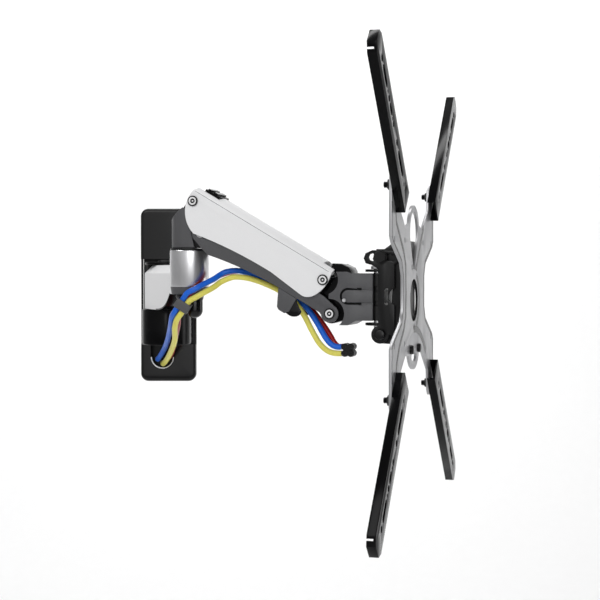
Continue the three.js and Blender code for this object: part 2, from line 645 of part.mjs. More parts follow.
// Opening in the top ring: round, and drawn down to a narrow point.
function topOpening() {
  const hole = new THREE.Path();
  hole.moveTo(-TOP_RING.point_half, TOP_RING.point);
  hole.lineTo(TOP_RING.point_half, TOP_RING.point);
  hole.absarc(0, TOP_RING.v + 0.7, TOP_RING.inner, -0.12 * Math.PI, 1.12 * Math.PI);
  return hole;
}

function centrePlate() {
  const shape = centrePlateOutline();
  const lowOpening = new THREE.Path();
  lowOpening.absellipse(0, LOW_RING.opening, LOW_RING.opening_half, LOW_RING.opening_rise, 0, 2 * Math.PI);
  const centre = new THREE.Path();
  centre.absarc(0, CENTRE_PLATE.hole_v, CENTRE_PLATE.hole, 0, 2 * Math.PI);
  shape.holes.push(topOpening(), lowOpening, centre);
  const front = CENTRE_PLATE.back + CENTRE_PLATE.thick;
  const plate = panel(shape, CENTRE_PLATE.back, front, 10).translate(0, 0, SCREEN_Z);
  const holes = [];
  for (const u of [-1, 1]) {
    for (const v of [-1, 1]) {
      holes.push(barX(3, 230, 245, 50 * u, SCREEN_Z + 50 * v, 8));
      holes.push(barX(3, 230, 245, 100 * u, SCREEN_Z + 50 * v, 8));
      holes.push(barX(BAR_BOLT.shank + GAP, 230, 245, 100 * u, SCREEN_Z + 100 * v, 12));
    }
  }
  return cut(plate, ...holes, ...bracketScrewHoles());
}

// A bar drawn along +Z from the screen centre: a channel with its web to the front.
function screenBar() {
  const half = BAR.width / 2;
  const outline = polygon([
    [-half, BAR.start], [half, BAR.start], [half, BAR.end - BAR.tip], [half - BAR.tip + 2, BAR.end],
    [-half + BAR.tip - 2, BAR.end], [-half, BAR.end - BAR.tip],
  ]);
  const channel = cut(
    panel(outline, BAR.back, BAR.front),
    block(BAR.back - 1, BAR.front - BAR.sheet, -half + BAR.sheet, half - BAR.sheet, 0, BAR.end - 4),
  );
  const hole = (at, radius) => barX(radius, BAR.back - 2, BAR.front + 2, 0, at, 8);
  const slot = (from, to, radius) => {
    const shape = new THREE.Shape();
    shape.absarc(0, to - radius, radius, 0, Math.PI);
    shape.absarc(0, from + radius, radius, Math.PI, 2 * Math.PI);
    return panel(shape, BAR.back - 2, BAR.front + 2, 3);
  };
  const sink = new THREE.CylinderGeometry(BAR_BOLT.head + GAP, BAR_BOLT.shank + GAP, 3, SMALL_ROUND);
  sink.rotateZ(-Math.PI / 2).translate(BAR.front - 1.4, 0, BAR_BOLT.at);
  return cut(
    channel,
    hole(282.8, 3.2), slot(253, 276, 3.4), hole(248, 1.8), hole(240.4, 3.2), slot(222.5, 235, 3.4),
    hole(218, 1.8), hole(212.1, 3.2), hole(190.9, 3.2), slot(152, 181, 3.4),
    hole(BAR_BOLT.at, BAR_BOLT.shank + GAP), sink,
  );
}

// Flat-headed bolt, flush with the bar's front.
function barBolt() {
  const profile = [
    [0, BAR_BOLT.end], [BAR_BOLT.shank, BAR_BOLT.end], [BAR_BOLT.shank, BAR.front - 3],
    [BAR_BOLT.head - 0.1, BAR.front - 0.1], [0, BAR.front - 0.1],
  ].map(([x, y]) => new THREE.Vector2(x, y));
  const bolt = new THREE.LatheGeometry(profile, SMALL_ROUND).rotateZ(-Math.PI / 2);
  const nut = join(
    barX(BAR_BOLT.nut, BAR_BOLT.nut_front - 1.4, BAR_BOLT.nut_front, 0, 0, 16),
    barX(BAR_BOLT.nut - 0.8, BAR_BOLT.nut_back, BAR_BOLT.nut_front - 1, 0, 0, 6),
  );
  return join(bolt, nut);
}

// Button-headed screw from behind the bracket, ending flush with the plate's front.
function bracketScrew() {
  const under = BRACKET.base - GAP;
  const end = CENTRE_PLATE.back + CENTRE_PLATE.thick - GAP;
  return join(
    barX(BRACKET_SCREW.shank, under - 1, end),
    barX(BRACKET_SCREW.head, under - BRACKET_SCREW.thick, under, 0, 0, 16),
  );
}

// ---------------------------------------------------------------- cables

function tube(points, steps) {
  const path = new THREE.CatmullRomCurve3(points.map((p) => new THREE.Vector3(...p)), false, 'centripetal');
  const section = new THREE.Shape();
  for (let i = 0; i < CABLE.sides; i += 1) {
    const angle = (2 * Math.PI * i) / CABLE.sides;
    const point = [CABLE.radius * Math.cos(angle), CABLE.radius * Math.sin(angle)];
    if (i === 0) section.moveTo(...point);
    else section.lineTo(...point);
  }
  return new THREE.ExtrudeGeometry(section, { steps, extrudePath: path, bevelEnabled: false, curveSegments: 1 });
}

// Each cable is in four lengths: from the wall opening to the strap, on to the arm, along the
// arm into the loop, and down to the end piece. The last two are placed from the elbow axis.
const CABLES = {
  blue: {
    wall: [[-13, -8, -74], [-11, -24, -73.5], [-3, -50, -64], [6, -90, -51.5], [12.7, -125, -38], [17.5, -154, -26],
      [20.4, -168, -18.5], [23.5, -173.7, -14.1], [25.5, -173.9, -11], [28.3, -174.4, -7]],
    elbow: [[28.8, -174.5, -6.2], [32.8, -175.2, -0.4], [36.4, -176.4, 4.6], [44.4, -177.5, 8.8],
      [52.4, -174, 13.4], [63.7, -168, 22.9], [69.6, -163.6, 27]],
    arm: [[36.5, -4, 28.2], [40.4, -2, 29.4], [50.5, 0.5, 29.4], [63.1, 1, 27.2], [75.2, 1, 22.3], [88, 1, 18.3],
      [95.9, 1, 16], [104, 1, 10.6], [111.6, 1, 5.9]],
    end: [[112.2, 1, 5.5], [115.2, 1, 3.3], [119.5, 1, -1.5], [130.9, 1, -14.5], [139.5, 0.5, -27], [147.9, -1.2, -40.4],
      [154, -2.6, -47], [160, -3.2, -49.7], [165.3, -3.2, -49.7]],
  },
  yellow: {
    wall: [[-7, -8, -79], [-5, -24, -79], [3.3, -60, -71], [12.2, -98, -58.5], [18.9, -130, -45.5], [21.7, -158, -31],
      [25, -168.5, -22.5], [28.8, -173.5, -17.6], [30.9, -173.9, -14.7], [33.7, -174.4, -10.6]],
    elbow: [[34.2, -174.5, -9.8], [38.2, -175, -3.6], [45.5, -176.2, 0.6], [53, -175, 4.8], [63.7, -169.5, 12.6],
      [68.2, -165.4, 16.3]],
    arm: [[36.5, -6, 18.5], [40.4, -5, 19.3], [50, -4, 21], [62, -4, 20.6], [75.2, -3.5, 17.5], [92, -3.5, 11],
      [101, -3.5, 6.5], [108.5, -3.5, 2.2]],
    end: [[109.1, -3.5, 1.7], [112, -3.5, -0.2], [116.4, -3.5, -5], [126, -3.5, -18], [134, -3.5, -33], [143.1, -3.5, -47.5],
      [152, -3.3, -54.6], [160, -3.2, -56.4], [165.3, -3.2, -56.4]],
  },
  red: {
    wall: [[0.5, -8, -71], [2, -24, -71], [7, -50, -65.5], [14, -90, -52], [20, -125, -38], [24.2, -150, -27],
      [25.4, -162, -19], [26.5, -168, -15.4], [28.5, -168.5, -11.9], [31.3, -168.9, -8]],
    elbow: [[31.8, -169, -7.2], [36, -169.6, -1.4], [44, -170, 2.6], [52, -168, 6.5], [63, -162.5, 14.5],
      [66.9, -157.6, 19]],
    arm: [[32, 1.5, 20.6], [40, 5, 23.6], [53, 7.5, 26.5], [65.6, 7.8, 24.6], [78.1, 7.8, 19.9], [92, 7.8, 15.5],
      [102.8, 7.8, 10.5], [110.2, 7.8, 6]],
    end: [[110.8, 7.8, 5.5], [113.8, 7.8, 3.4], [118.3, 7.8, -1], [131, 7.3, -12.5], [142, 6.5, -25.6], [151.5, 5, -39],
      [156, 3.9, -46], [160.5, 3.2, -49.7], [165.3, 3.2, -49.7]],
  },
};

// Square band round the cables, with a short stem towards the elbow. Its hollow runs along Z.
function cableStrap() {
  const outer = block(-8.2, 8.2, -6.2, 9.4, -STRAP.half, STRAP.half);
  const stem = block(-2, 2, 9, 11.5, -2, 2);
  const hollow = block(-8.2 + STRAP.wall, 8.2 - STRAP.wall, -6.2 + STRAP.wall, 9.4 - STRAP.wall, -9, 9);
  return cut(join(outer, stem), hollow);
}

// Moulded end that holds the cables together: four round lobes across the arm, in one body.
function cableEnd() {
  const lobe = (r, z) => barY(CABLE_END.lobe, -CABLE_END.half, CABLE_END.half, CABLE_END.r + r, CABLE_END.z + z, 16);
  const lobes = [lobe(-3.1, -3.3), lobe(-3.1, 3.3), lobe(3.1, -3.3), lobe(3.1, 3.3)];
  return join(...lobes, barY(CABLE_END.lobe, -CABLE_END.half, CABLE_END.half, CABLE_END.r, CABLE_END.z));
}

// ---------------------------------------------------------------- assembly

const mount = new THREE.Group();

const link = new THREE.Group();
link.position.set(0, HINGE_Y, 0);
link.rotation.z = radians(LINK_TURN);
mount.add(link);

const elbow = {
  x: LINK.length * Math.cos(radians(LINK_TURN)),
  y: HINGE_Y + LINK.length * Math.sin(radians(LINK_TURN)),
};
const arm = new THREE.Group();
arm.position.set(elbow.x, elbow.y, 0);
arm.rotation.z = radians(ARM_TURN);
mount.add(arm);

function sloping(pivot, slope) {
  const group = new THREE.Group();
  group.position.set(pivot.r, 0, pivot.z);
  group.rotation.y = slope;
  arm.add(group);
  return group;
}
const lowerRear = lowerPivot(UPPER_REAR);
const upperArm = sloping(UPPER_REAR, radians(SLOPE));
const lowerArmGroup = sloping(lowerRear, radians(SLOPE));
const spring = springLength();
const springGroup = sloping({ r: SPRING.rear_r, z: SPRING.rear_z }, spring.slope);

add(mount, 'wall_plate', wallPlate(), LOOK.steel());
add(mount, 'wall_cover', wallCover(), LOOK.gloss_black());
add(mount, 'hinge_housing', hingeHousing(), LOOK.gloss_black());
add(mount, 'wall_hinge_pin', hingePin(), LOOK.black_metal());
add(mount, 'lag_screw_upper', lagScrew(), LOOK.steel(), 0, 0, LAG.z);
add(mount, 'lag_screw_lower', lagScrew(), LOOK.steel(), 0, 0, -LAG.z);

add(link, 'swivel_link', swivelLink(), LOOK.silver());
add(link, 'elbow_flange', elbowFlange(), LOOK.black_metal(), LINK.length);
add(link, 'elbow_cap', elbowCap(), LOOK.gloss_black(), LINK.length + CAP.along, CAP.across);

add(arm, 'elbow_bracket', elbowBracket(), LOOK.dark_grey());
add(arm, 'arm_base_core', armBaseCore(), LOOK.black_metal());
add(arm, 'elbow_pin', barZ(ELBOW_PIN, LINK.under + 1, LINK.top + 2.4), LOOK.steel());
add(arm, 'elbow_washer', elbowWasher(), LOOK.black_metal());
add(arm, 'spring_rear_pin', barY(SPRING.pin, -CORE.half, CORE.half), LOOK.steel(), SPRING.rear_r, 0, SPRING.rear_z);
add(arm, 'upper_rear_pivot', pivotScrew(COVER.half), LOOK.black_metal(), UPPER_REAR.r, 0, UPPER_REAR.z);
add(arm, 'lower_rear_pivot', barY(PIVOT.radius, -LOWER.half, LOWER.half), LOOK.steel(), lowerRear.r, 0, lowerRear.z);

add(upperArm, 'upper_arm_cover', upperArmCover(), LOOK.silver());
add(upperArm, 'upper_front_pivot', pivotScrew(COVER.half), LOOK.black_metal(), ARM_LENGTH);
const pinHalf = COVER.half - COVER.wall - GAP;
add(upperArm, 'spring_front_pin', barY(SPRING.pin, -pinHalf, pinHalf), LOOK.steel(), SPRING.front_p, 0, SPRING.front_q);
add(lowerArmGroup, 'lower_arm', lowerArm(), LOOK.dark_grey());
add(lowerArmGroup, 'cable_loop', cableLoop(), LOOK.dark_grey());
add(lowerArmGroup, 'lower_front_pivot', pivotScrew(LOWER.half), LOOK.black_metal(), ARM_LENGTH);
add(springGroup, 'gas_cylinder', gasCylinder(spring.length), LOOK.black_metal());
add(springGroup, 'gas_rod', gasRod(), LOOK.steel());

add(arm, 'head_block', headBlock(), LOOK.dark_grey());
add(arm, 'swivel_barrel', swivelBarrel(), LOOK.gloss_black(), SWIVEL_R);
add(arm, 'swivel_pin', swivelPin(), LOOK.steel(), SWIVEL_R);
add(arm, 'head_set_screw', barY(2, -HEAD.half - 1.6, -HEAD.half - GAP), LOOK.steel(), 172.5, 0, -2);

add(arm, 'swivel_yoke', swivelYoke(), LOOK.black_metal());
add(arm, 'tilt_bracket', tiltBracket(), LOOK.black_metal());
add(arm, 'tilt_pivot_rod', crossRod(4, 5.5, 20), LOOK.black_metal(), TILT.r, 0, TILT.z);
add(arm, 'tilt_lock_bolt', crossRod(3, 6.9, 6), LOOK.black_metal(), TILT.lock_r, 0, TILT.lock_z);
add(arm, 'centre_plate', centrePlate(), LOOK.steel());
for (const [place, [y, z]] of Object.entries(BRACKET_SCREWS)) {
  add(arm, `bracket_screw_${place}`, bracketScrew(), LOOK.black_metal(), 0, y, z);
}
for (const side of [-1, 1]) {
  const name = side < 0 ? 'near' : 'far';
  const front = CENTRE_PLATE.back + CENTRE_PLATE.thick + GAP;
  const button = barX(BUTTON.radius, front, front + BUTTON.thick, 0, 0, 16);
  add(arm, `plate_button_${name}`, button, LOOK.black_metal(), 0, BUTTON.across * side, SCREEN_Z + BUTTON.v);
}

const corners = { far_top: -45, far_bottom: -135, near_bottom: 135, near_top: 45 };
for (const [corner, turn] of Object.entries(corners)) {
  const turned = new THREE.Group();
  turned.position.z = SCREEN_Z;
  turned.rotation.x = radians(turn);
  arm.add(turned);
  add(turned, `bar_${corner}`, screenBar(), LOOK.gloss_black());
  add(turned, `bar_bolt_${corner}`, barBolt(), LOOK.black_metal(), 0, 0, BAR_BOLT.at);
}

const strap = new THREE.Group();
strap.position.set(...STRAP.place);
strap.quaternion.setFromUnitVectors(new THREE.Vector3(0, 0, 1), new THREE.Vector3(...STRAP.along).normalize());
mount.add(strap);
add(strap, 'cable_strap', cableStrap(), LOOK.dark_grey());

for (const [colour, lengths] of Object.entries(CABLES)) {
  add(mount, `cable_${colour}_wall`, tube(lengths.wall, 14), LOOK[colour]());
  add(mount, `cable_${colour}_elbow`, tube(lengths.elbow, 8), LOOK[colour]());
  add(arm, `cable_${colour}_arm`, tube(lengths.arm, 9), LOOK[colour]());
  add(arm, `cable_${colour}_end`, tube(lengths.end, 11), LOOK[colour]());
}
add(arm, 'cable_end', cableEnd(), LOOK.gloss_black());

export default mount;
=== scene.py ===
"""Looks for the full motion television wall mount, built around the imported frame.

Lengths here are in millimetres, and become metres as each mesh is placed. The row frame is
the CAD's: the wall is the plane Y = 0, the mount stands out from it along -Y, and +Z is up.
"""

import json
import math

import bmesh
import bpy
from mathutils import Matrix, Vector

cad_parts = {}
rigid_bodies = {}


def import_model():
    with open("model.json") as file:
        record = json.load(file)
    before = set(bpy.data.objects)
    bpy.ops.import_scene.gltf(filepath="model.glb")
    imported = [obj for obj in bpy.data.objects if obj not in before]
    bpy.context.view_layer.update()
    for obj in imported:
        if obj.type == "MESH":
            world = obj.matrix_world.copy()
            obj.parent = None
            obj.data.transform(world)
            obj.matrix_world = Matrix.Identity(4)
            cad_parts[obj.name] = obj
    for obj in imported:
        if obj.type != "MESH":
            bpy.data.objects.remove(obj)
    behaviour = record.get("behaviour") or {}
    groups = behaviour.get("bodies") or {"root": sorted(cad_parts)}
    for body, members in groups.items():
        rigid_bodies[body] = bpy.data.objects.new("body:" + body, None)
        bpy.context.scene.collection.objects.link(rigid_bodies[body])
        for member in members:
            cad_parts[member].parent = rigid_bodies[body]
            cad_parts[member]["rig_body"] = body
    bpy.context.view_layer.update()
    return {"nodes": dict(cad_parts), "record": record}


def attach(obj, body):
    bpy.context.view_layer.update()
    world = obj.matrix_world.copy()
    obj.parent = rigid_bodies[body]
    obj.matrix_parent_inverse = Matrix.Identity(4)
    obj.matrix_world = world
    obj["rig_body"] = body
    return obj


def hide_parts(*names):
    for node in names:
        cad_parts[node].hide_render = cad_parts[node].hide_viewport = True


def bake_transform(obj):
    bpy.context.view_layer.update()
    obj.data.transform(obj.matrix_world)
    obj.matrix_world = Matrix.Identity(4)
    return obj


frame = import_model()

MM = 0.001

# ---------------------------------------------------------------- places, in mm and degrees

HINGE_Y = -35
LINK_LENGTH = 120
LINK_TURN = -72.4
ARM_TURN = -15.5
SLOPE = 30.4
ARM_LENGTH = 160
UPPER_REAR = (13.2, 99.4)
LOWER_REAR = (19.4, 65.4)
SWIVEL_R = 202
TILT_ROD = (209.1, -35.9)
LOCK_BOLT = (209.5, 41.3)
SCREEN_Z = 6.9
BOLT_AT = 141.4
ARM_HALF = 25
LOWER_ARM_HALF = 22
HOLE_V = -8.8
PLATE_FRONT = 239.2
ROD_HALF = 22.8


def shift(x, y, z):
    return Matrix.Translation((x, y, z))


def turn(degrees, axis):
    return Matrix.Rotation(math.radians(degrees), 4, axis)


ROW = Matrix.Identity(4)
LINK = shift(0, HINGE_Y, 0) @ turn(LINK_TURN, "Z")
ELBOW = LINK @ Vector((LINK_LENGTH, 0, 0))
ARM = shift(*ELBOW) @ turn(ARM_TURN, "Z")
Z_TO_X = turn(90, "Y")
Z_TO_FAR = turn(-90, "X")
Z_TO_NEAR = turn(90, "X")


def front_of(rear):
    slope = math.radians(SLOPE)
    return rear[0] + ARM_LENGTH * math.cos(slope), rear[1] - ARM_LENGTH * math.sin(slope)


UPPER_FRONT = front_of(UPPER_REAR)
LOWER_FRONT = front_of(LOWER_REAR)

# ---------------------------------------------------------------- camera


def add_camera():
    """The fixed camera, which looks along the wall's normal and a little downwards."""
    data = bpy.data.cameras.new("camera")
    data.lens = 76.2
    data.sensor_width = 36
    data.clip_end = 20
    camera = bpy.data.objects.new("camera", data)
    camera.location = (0.1525, -1.485, 0.0242)
    camera.rotation_euler = (math.radians(90 - 1.17), 0, 0)
    bpy.context.scene.collection.objects.link(camera)
    bpy.context.scene.camera = camera


add_camera()

# ---------------------------------------------------------------- materials


def srgb(code):
    """A colour given as six hexadecimal digits, as linear red, green, blue and alpha."""
    values = [int(code[i : i + 2], 16) / 255 for i in (0, 2, 4)]
    return [v / 12.92 if v <= 0.04045 else ((v + 0.055) / 1.055) ** 2.4 for v in values] + [1]


def finish(name, color, roughness, metallic=0.0, coat=0.0, **grain):
    """Procedural finish. grain: scale of the surface grain per metre, stretch of it along the
    three axes, bump height, rough (how far roughness varies), tone (how far colour varies) and
    sheen (how much it reflects)."""
    material = bpy.data.materials.new(name)
    material.use_nodes = True
    nodes = material.node_tree.nodes
    link = material.node_tree.links.new
    shader = nodes["Principled BSDF"]
    shader.inputs["Metallic"].default_value = metallic
    shader.inputs["Coat Weight"].default_value = coat
    shader.inputs["Coat Roughness"].default_value = 0.06
    shader.inputs["Specular IOR Level"].default_value = grain.get("sheen", 0.5)

    place = nodes.new("ShaderNodeTexCoord")
    stretched = nodes.new("ShaderNodeMapping")
    stretched.inputs["Scale"].default_value = grain.get("stretch", (1, 1, 1))
    link(place.outputs["Object"], stretched.inputs["Vector"])
    fine = nodes.new("ShaderNodeTexNoise")
    fine.inputs["Scale"].default_value = grain.get("scale", 900)
    fine.inputs["Detail"].default_value = 3
    link(stretched.outputs["Vector"], fine.inputs["Vector"])
    broad = nodes.new("ShaderNodeTexNoise")
    broad.inputs["Scale"].default_value = 22
    broad.inputs["Detail"].default_value = 4
    link(place.outputs["Object"], broad.inputs["Vector"])

    spread = grain.get("rough", 0.05)
    gloss = nodes.new("ShaderNodeMapRange")
    gloss.inputs["To Min"].default_value = max(roughness - spread, 0.02)
    gloss.inputs["To Max"].default_value = roughness + spread
    link(broad.outputs["Fac"], gloss.inputs["Value"])
    link(gloss.outputs["Result"], shader.inputs["Roughness"])

    tone = grain.get("tone", 0.06)
    ramp = nodes.new("ShaderNodeValToRGB")
    base = srgb(color)
    ramp.color_ramp.elements[0].position = 0.3
    ramp.color_ramp.elements[0].color = [c * (1 - tone) for c in base[:3]] + [1]
    ramp.color_ramp.elements[1].position = 0.7
    ramp.color_ramp.elements[1].color = [min(c * (1 + tone), 1) for c in base[:3]] + [1]
    link(fine.outputs["Fac"], ramp.inputs["Fac"])
    link(ramp.outputs["Color"], shader.inputs["Base Color"])

    bump = nodes.new("ShaderNodeBump")
    bump.inputs["Strength"].default_value = grain.get("bump", 0.05)
    bump.inputs["Distance"].default_value = 0.0002
    link(fine.outputs["Fac"], bump.inputs["Height"])
    link(bump.outputs["Normal"], shader.inputs["Normal"])
    return material


LOOKS = {
    "gloss_black_plastic": finish("gloss_black_plastic", "0b0b0c", 0.13, scale=700, bump=0.01, sheen=0.3),
    "gloss_black_paint": finish("gloss_black_paint", "070708", 0.16, scale=500, bump=0.01, sheen=0.1),
    "black_sheet": finish("black_sheet", "0c0c0d", 0.34, scale=1800, bump=0.1, tone=0.12, sheen=0.3),
    "black_steel": finish("black_steel", "0b0b0c", 0.3, scale=1500, bump=0.06, tone=0.1, sheen=0.3),
    "dark_grey": finish("dark_grey", "505052", 0.42, scale=1600, bump=0.08, sheen=0.3),
    "silver_paint": finish("silver_paint", "e6e6e7", 0.36, scale=1500, bump=0.03, tone=0.015, sheen=0.15),
    "plated_sheet": finish(
        "plated_sheet", "a8a8aa", 0.34, 0.6, scale=420, stretch=(1, 1, 0.08), bump=0.06, tone=0.05
    ),
    "steel": finish("steel", "d4d4d6", 0.28, 1.0, scale=600, stretch=(1, 1, 0.2), bump=0.04, tone=0.02),
    "cable_blue": finish("cable_blue", "1e62cf", 0.3, scale=900, bump=0.05, sheen=0.25),
    "cable_yellow": finish("cable_yellow", "dcd464", 0.32, scale=900, bump=0.05, sheen=0.2),
    "cable_red": finish("cable_red", "9a1818", 0.3, scale=900, bump=0.05, sheen=0.25),
    "moulded_black": finish("moulded_black", "101010", 0.4, scale=1400, bump=0.12, sheen=0.3),
}
SLOT_OF = {row["node"]: row["material_slot"] for row in frame["record"]["subparts"]}
BODY_OF = {node: obj["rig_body"] for node, obj in frame["nodes"].items()}

for node, obj in frame["nodes"].items():
    obj.data.materials.clear()
    obj.data.materials.append(LOOKS[SLOT_OF[node]])

# ---------------------------------------------------------------- mesh helpers


def settle(obj, body, slot, nodes=()):
    """Gives a finished piece its material and its body, and hides the nodes that it stands for."""
    obj.data.materials.clear()
    obj.data.materials.append(LOOKS[slot])
    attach(obj, body)
    if nodes:
        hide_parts(*nodes)
    return obj


def new_object(name, bm, matrix=ROW):
    """A mesh object from millimetre geometry, placed by matrix, in metres."""
    bmesh.ops.recalc_face_normals(bm, faces=bm.faces)
    mesh = bpy.data.meshes.new(name)
    bm.to_mesh(mesh)
    bm.free()
    mesh.transform(Matrix.Scale(MM, 4) @ matrix)
    obj = bpy.data.objects.new(name, mesh)
    bpy.context.scene.collection.objects.link(obj)
    return obj


def smooth(obj, degrees=32):
    for face in obj.data.polygons:
        face.use_smooth = True
    obj.data.set_sharp_from_angle(angle=math.radians(degrees))
    return obj


def apply_modifiers(obj):
    depsgraph = bpy.context.evaluated_depsgraph_get()
    mesh = bpy.data.meshes.new_from_object(obj.evaluated_get(depsgraph))
    obj.modifiers.clear()
    obj.data = mesh
    return obj


def bevel(obj, width, segments=2, degrees=34):
    """Rounds the piece's edges by width, in mm, and shades the curved faces smooth."""
    modifier = obj.modifiers.new("bevel", "BEVEL")
    modifier.width = width * MM
    modifier.segments = segments
    modifier.limit_method = "ANGLE"
    modifier.angle_limit = math.radians(degrees)
    modifier.use_clamp_overlap = True
    return smooth(apply_modifiers(obj))


def boolean(obj, tool, operation="DIFFERENCE"):
    modifier = obj.modifiers.new("boolean", "BOOLEAN")
    modifier.object = tool
    modifier.operation = operation
    modifier.solver = "EXACT"
    apply_modifiers(obj)
    bpy.data.objects.remove(tool)
    return obj


def refine(node, width=0.5, segments=2, degrees=34):
    """The node's own shape with its flat faces whole again and every edge rounded."""
    bm = bmesh.new()
    bm.from_mesh(frame["nodes"][node].data)
    bmesh.ops.remove_doubles(bm, verts=bm.verts, dist=5e-6)
    bmesh.ops.dissolve_limit(bm, angle_limit=math.radians(0.6), verts=bm.verts, edges=bm.edges)
    bmesh.ops.scale(bm, vec=(1 / MM, 1 / MM, 1 / MM), verts=bm.verts)
    obj = new_object(f"{node}_finished", bm)
    bevel(obj, width, segments, degrees)
    return settle(obj, BODY_OF[node], SLOT_OF[node], [node])


def lathe(name, profile, matrix, sides=48):
    """Turns (radius, height) points, in order from axis to axis or round a ring, about local Z."""
    bm = bmesh.new()
    rings = []
    for radius, height in profile:
        if radius < 1e-6:
            rings.append([bm.verts.new((0, 0, height))])
            continue
        angles = [2 * math.pi * (i + 0.5) / sides for i in range(sides)]
        rings.append([bm.verts.new((radius * math.cos(a), radius * math.sin(a), height)) for a in angles])
    closed = profile[0][0] > 1e-6
    pairs = list(zip(rings, rings[1:])) + ([(rings[-1], rings[0])] if closed else [])
    for low, high in pairs:
        for i in range(sides):
            j = (i + 1) % sides
            corners = [low[i % len(low)], low[j % len(low)], high[j % len(high)], high[i % len(high)]]
            bm.faces.new(list(dict.fromkeys(corners)))
    return new_object(name, bm, matrix)


def prism(name, points, low, high, matrix=ROW):
    """An outline in local x, y that stands from z = low to z = high."""
    bm = bmesh.new()
    floor = [bm.verts.new((x, y, low)) for x, y in points]
    roof = [bm.verts.new((x, y, high)) for x, y in points]
    bm.faces.new(floor)
    bm.faces.new(roof)
    for i in range(len(points)):
        j = (i + 1) % len(points)
        bm.faces.new([floor[i], floor[j], roof[j], roof[i]])
    return new_object(name, bm, matrix)


def arc(x, y, radius, start, end, steps=16):
    angles = [math.radians(start + (end - start) * i / steps) for i in range(steps + 1)]
    return [(x + radius * math.cos(a), y + radius * math.sin(a)) for a in angles]


def rounded_box(width, height, corner, steps=10):
    x, y = width / 2 - corner, height / 2 - corner
    corners = [(x, -y, -90), (x, y, 0), (-x, y, 90), (-x, -y, 180)]
    return [p for cx, cy, start in corners for p in arc(cx, cy, corner, start, start + 90, steps)]


def join_objects(objects):
    """Gathers several pieces of one body into the first of them."""
    bm = bmesh.new()
    for obj in objects:
        bm.from_mesh(obj.data)
    bm.to_mesh(objects[0].data)
    bm.free()
    for obj in objects[1:]:
        bpy.data.objects.remove(obj)
    return smooth(objects[0])


# ---------------------------------------------------------------- cables

CABLE_RADIUS = 3
CABLES = {
    "blue": {
        "wall": [(-13, -8, -74), (-11, -24, -73.5), (-3, -50, -64), (6, -90, -51.5), (12.7, -125, -38),
                 (17.5, -154, -26), (20.4, -168, -18.5), (23.5, -173.7, -14.1), (25.5, -173.9, -11),
                 (28.3, -174.4, -7)],
        "elbow": [(28.8, -174.5, -6.2), (32.8, -175.2, -0.4), (36.4, -176.4, 4.6), (44.4, -177.5, 8.8),
                  (52.4, -174, 13.4), (63.7, -168, 19.4), (69.6, -163.6, 23.4)],
        "arm": [(36.5, -4, 24.2), (40.4, -2, 26.2), (50.5, 0.5, 27.8), (63.1, 1, 26), (75.2, 1, 22.3),
                (88, 1, 18.3), (95.9, 1, 16), (104, 1, 10.6), (111.6, 1, 5.9)],
        "end": [(112.2, 1, 5.5), (115.2, 1, 3.3), (119.5, 1, -1.5), (130.9, 1, -14.5), (139.5, 0.5, -27),
                (147.9, -1.2, -40.4), (154, -2.6, -47), (160, -3.2, -49.7), (165.3, -3.2, -49.7)],
    },
    "yellow": {
        "wall": [(-7, -8, -79), (-5, -24, -79), (3.3, -60, -71), (12.2, -98, -58.5), (18.9, -130, -45.5),
                 (21.7, -158, -31), (25, -168.5, -22.5), (28.8, -173.5, -17.6), (30.9, -173.9, -14.7),
                 (33.7, -174.4, -10.6)],
        "elbow": [(34.2, -174.5, -9.8), (38.2, -175, -3.6), (45.5, -176.2, 0.6), (53, -175, 4.8),
                  (63.7, -169.5, 11), (69.2, -165.2, 15.2)],
        "arm": [(36.5, -6, 15.8), (40.4, -5, 17.8), (50, -4, 21), (62, -4, 20.6), (75.2, -3.5, 17.5),
                (92, -3.5, 11), (101, -3.5, 6.5), (108.5, -3.5, 2.2)],
        "end": [(109.1, -3.5, 1.7), (112, -3.5, -0.2), (116.4, -3.5, -5), (126, -3.5, -18),
                (134, -3.5, -33), (143.1, -3.5, -47.5), (152, -3.3, -54.6), (160, -3.2, -56.4),
                (165.3, -3.2, -56.4)],
    },
    "red": {
        "wall": [(0.5, -8, -71), (2, -24, -71), (7, -50, -65.5), (14, -90, -52), (20, -125, -38),
                 (24.2, -150, -27), (25.4, -162, -19), (26.5, -168, -15.4), (28.5, -168.5, -11.9),
                 (31.3, -168.9, -8)],
        "elbow": [(31.8, -169, -7), (37, -170.2, 3), (44.5, -171.7, 9), (52, -168, 13.4),
                  (62.5, -162.2, 18.8), (66.9, -157.6, 21.6)],
        "arm": [(32, 1.5, 22.6), (40, 5, 25.6), (53, 7.5, 27.6), (65.6, 7.8, 26.2), (78.1, 7.8, 20.6),
                (92, 7.8, 15.5), (102.8, 7.8, 10.5), (110.2, 7.8, 6)],
        "end": [(110.8, 7.8, 5.5), (113.8, 7.8, 3.4), (118.3, 7.8, -1), (131, 7.3, -12.5),
                (142, 6.5, -25.6), (151.5, 5, -39), (156, 3.9, -46), (160.5, 3.2, -49.7),
                (165.3, 3.2, -49.7)],
    },
}
# Each length's frame, and the two bodies that it runs between.
LENGTHS = {
    "wall": (ROW, "wall", "link"),
    "elbow": (ROW, "link", "arm_base"),
    "arm": (ARM, "arm_base", "lower_arm"),
    "end": (ARM, "lower_arm", "head"),
}


